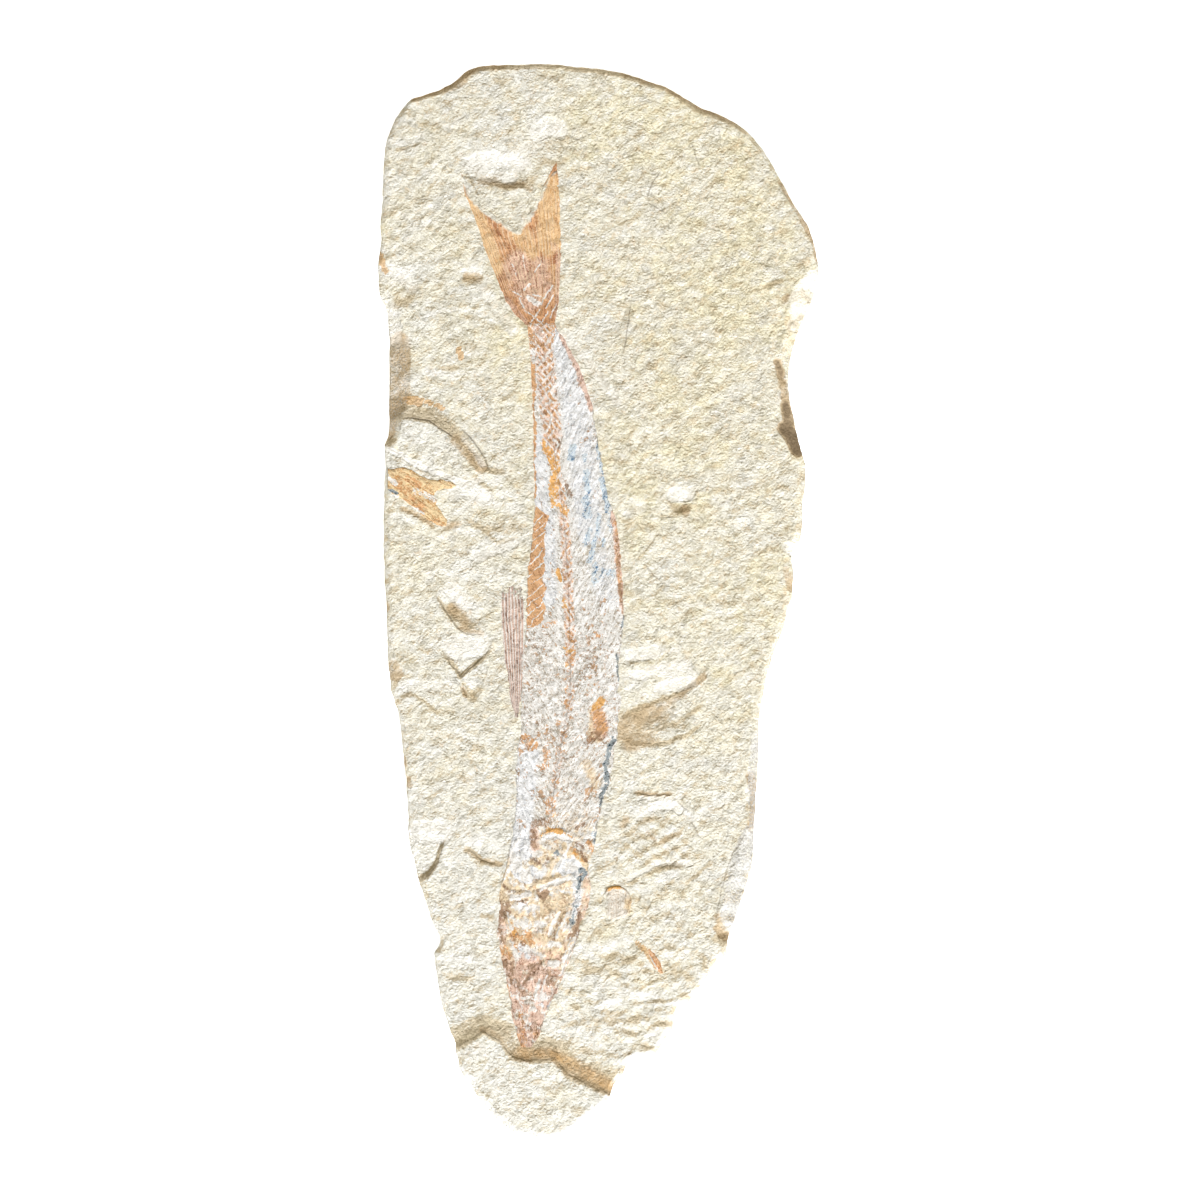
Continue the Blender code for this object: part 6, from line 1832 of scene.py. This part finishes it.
def make_floor():
    """A large square table top just under the slab."""
    half = FLOOR_SIZE / 2
    mesh = bpy.data.meshes.new("table_top")
    corners = [(-half, -half, 0), (half, -half, 0), (half, half, 0), (-half, half, 0)]
    mesh.from_pydata(corners, [], [(0, 1, 2, 3)])
    paint = bpy.data.materials.new("pale_table")
    paint.use_nodes = True
    shader = paint.node_tree.nodes["Principled BSDF"]
    shader.inputs["Base Color"].default_value = FLOOR_COLOUR
    shader.inputs["Roughness"].default_value = FLOOR_ROUGHNESS
    shader.inputs["Emission Color"].default_value = (1, 1, 1, 1)
    shader.inputs["Emission Strength"].default_value = FLOOR_GLOW
    mesh.materials.append(paint)
    floor = bpy.data.objects.new("table_top", mesh)
    bpy.context.scene.collection.objects.link(floor)
    floor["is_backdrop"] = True


def make_light():
    """One soft square lamp from the snout end, and an even room."""
    lamp = bpy.data.lights.new("key_lamp", "AREA")
    lamp.size, lamp.energy, lamp.color = KEY_SIZE, KEY_POWER, KEY_COLOUR
    holder = bpy.data.objects.new("key_lamp", lamp)
    direction = KEY_FROM.normalized()
    holder.location = direction * KEY_DISTANCE
    holder.rotation_euler = direction.to_track_quat("Z", "Y").to_euler()
    bpy.context.scene.collection.objects.link(holder)
    room = bpy.data.worlds.new("room")
    room.use_nodes = True
    background = room.node_tree.nodes["Background"]
    background.inputs["Color"].default_value = FILL_COLOUR
    background.inputs["Strength"].default_value = FILL_STRENGTH
    bpy.context.scene.world = room


def make_camera():
    """A long lens straight above the slab: distance = lens / sensor x width of the view at the face."""
    data = bpy.data.cameras.new("camera")
    data.lens, data.sensor_width = LENS, SENSOR
    camera = bpy.data.objects.new("camera", data)
    middle = to_plan(np.array([[FRAME_SIZE / 2, FRAME_SIZE / 2]], dtype=float))[0]
    distance = LENS / SENSOR * FRAME_SIZE * STEP
    camera.location = (*middle, FACE_LEVEL + distance)
    bpy.context.scene.collection.objects.link(camera)
    bpy.context.scene.camera = camera


make_floor()
make_light()
make_camera()
bpy.context.scene.view_settings.view_transform = "Standard"
print(f"camera {bpy.context.scene.camera.location.z:.2f} m up, key lamp {KEY_DISTANCE} m away")

# %% [markdown]
# ## Both boxes, of the solids and of the dressed model, are printed side by side.
# The dressed model may not outgrow the solids it stands for, so both boxes are written down side by side.

# %% Finish
bounds = [list(corner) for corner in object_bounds()]
print("solids:", cad_low, cad_high)
print("dressed:", bounds)
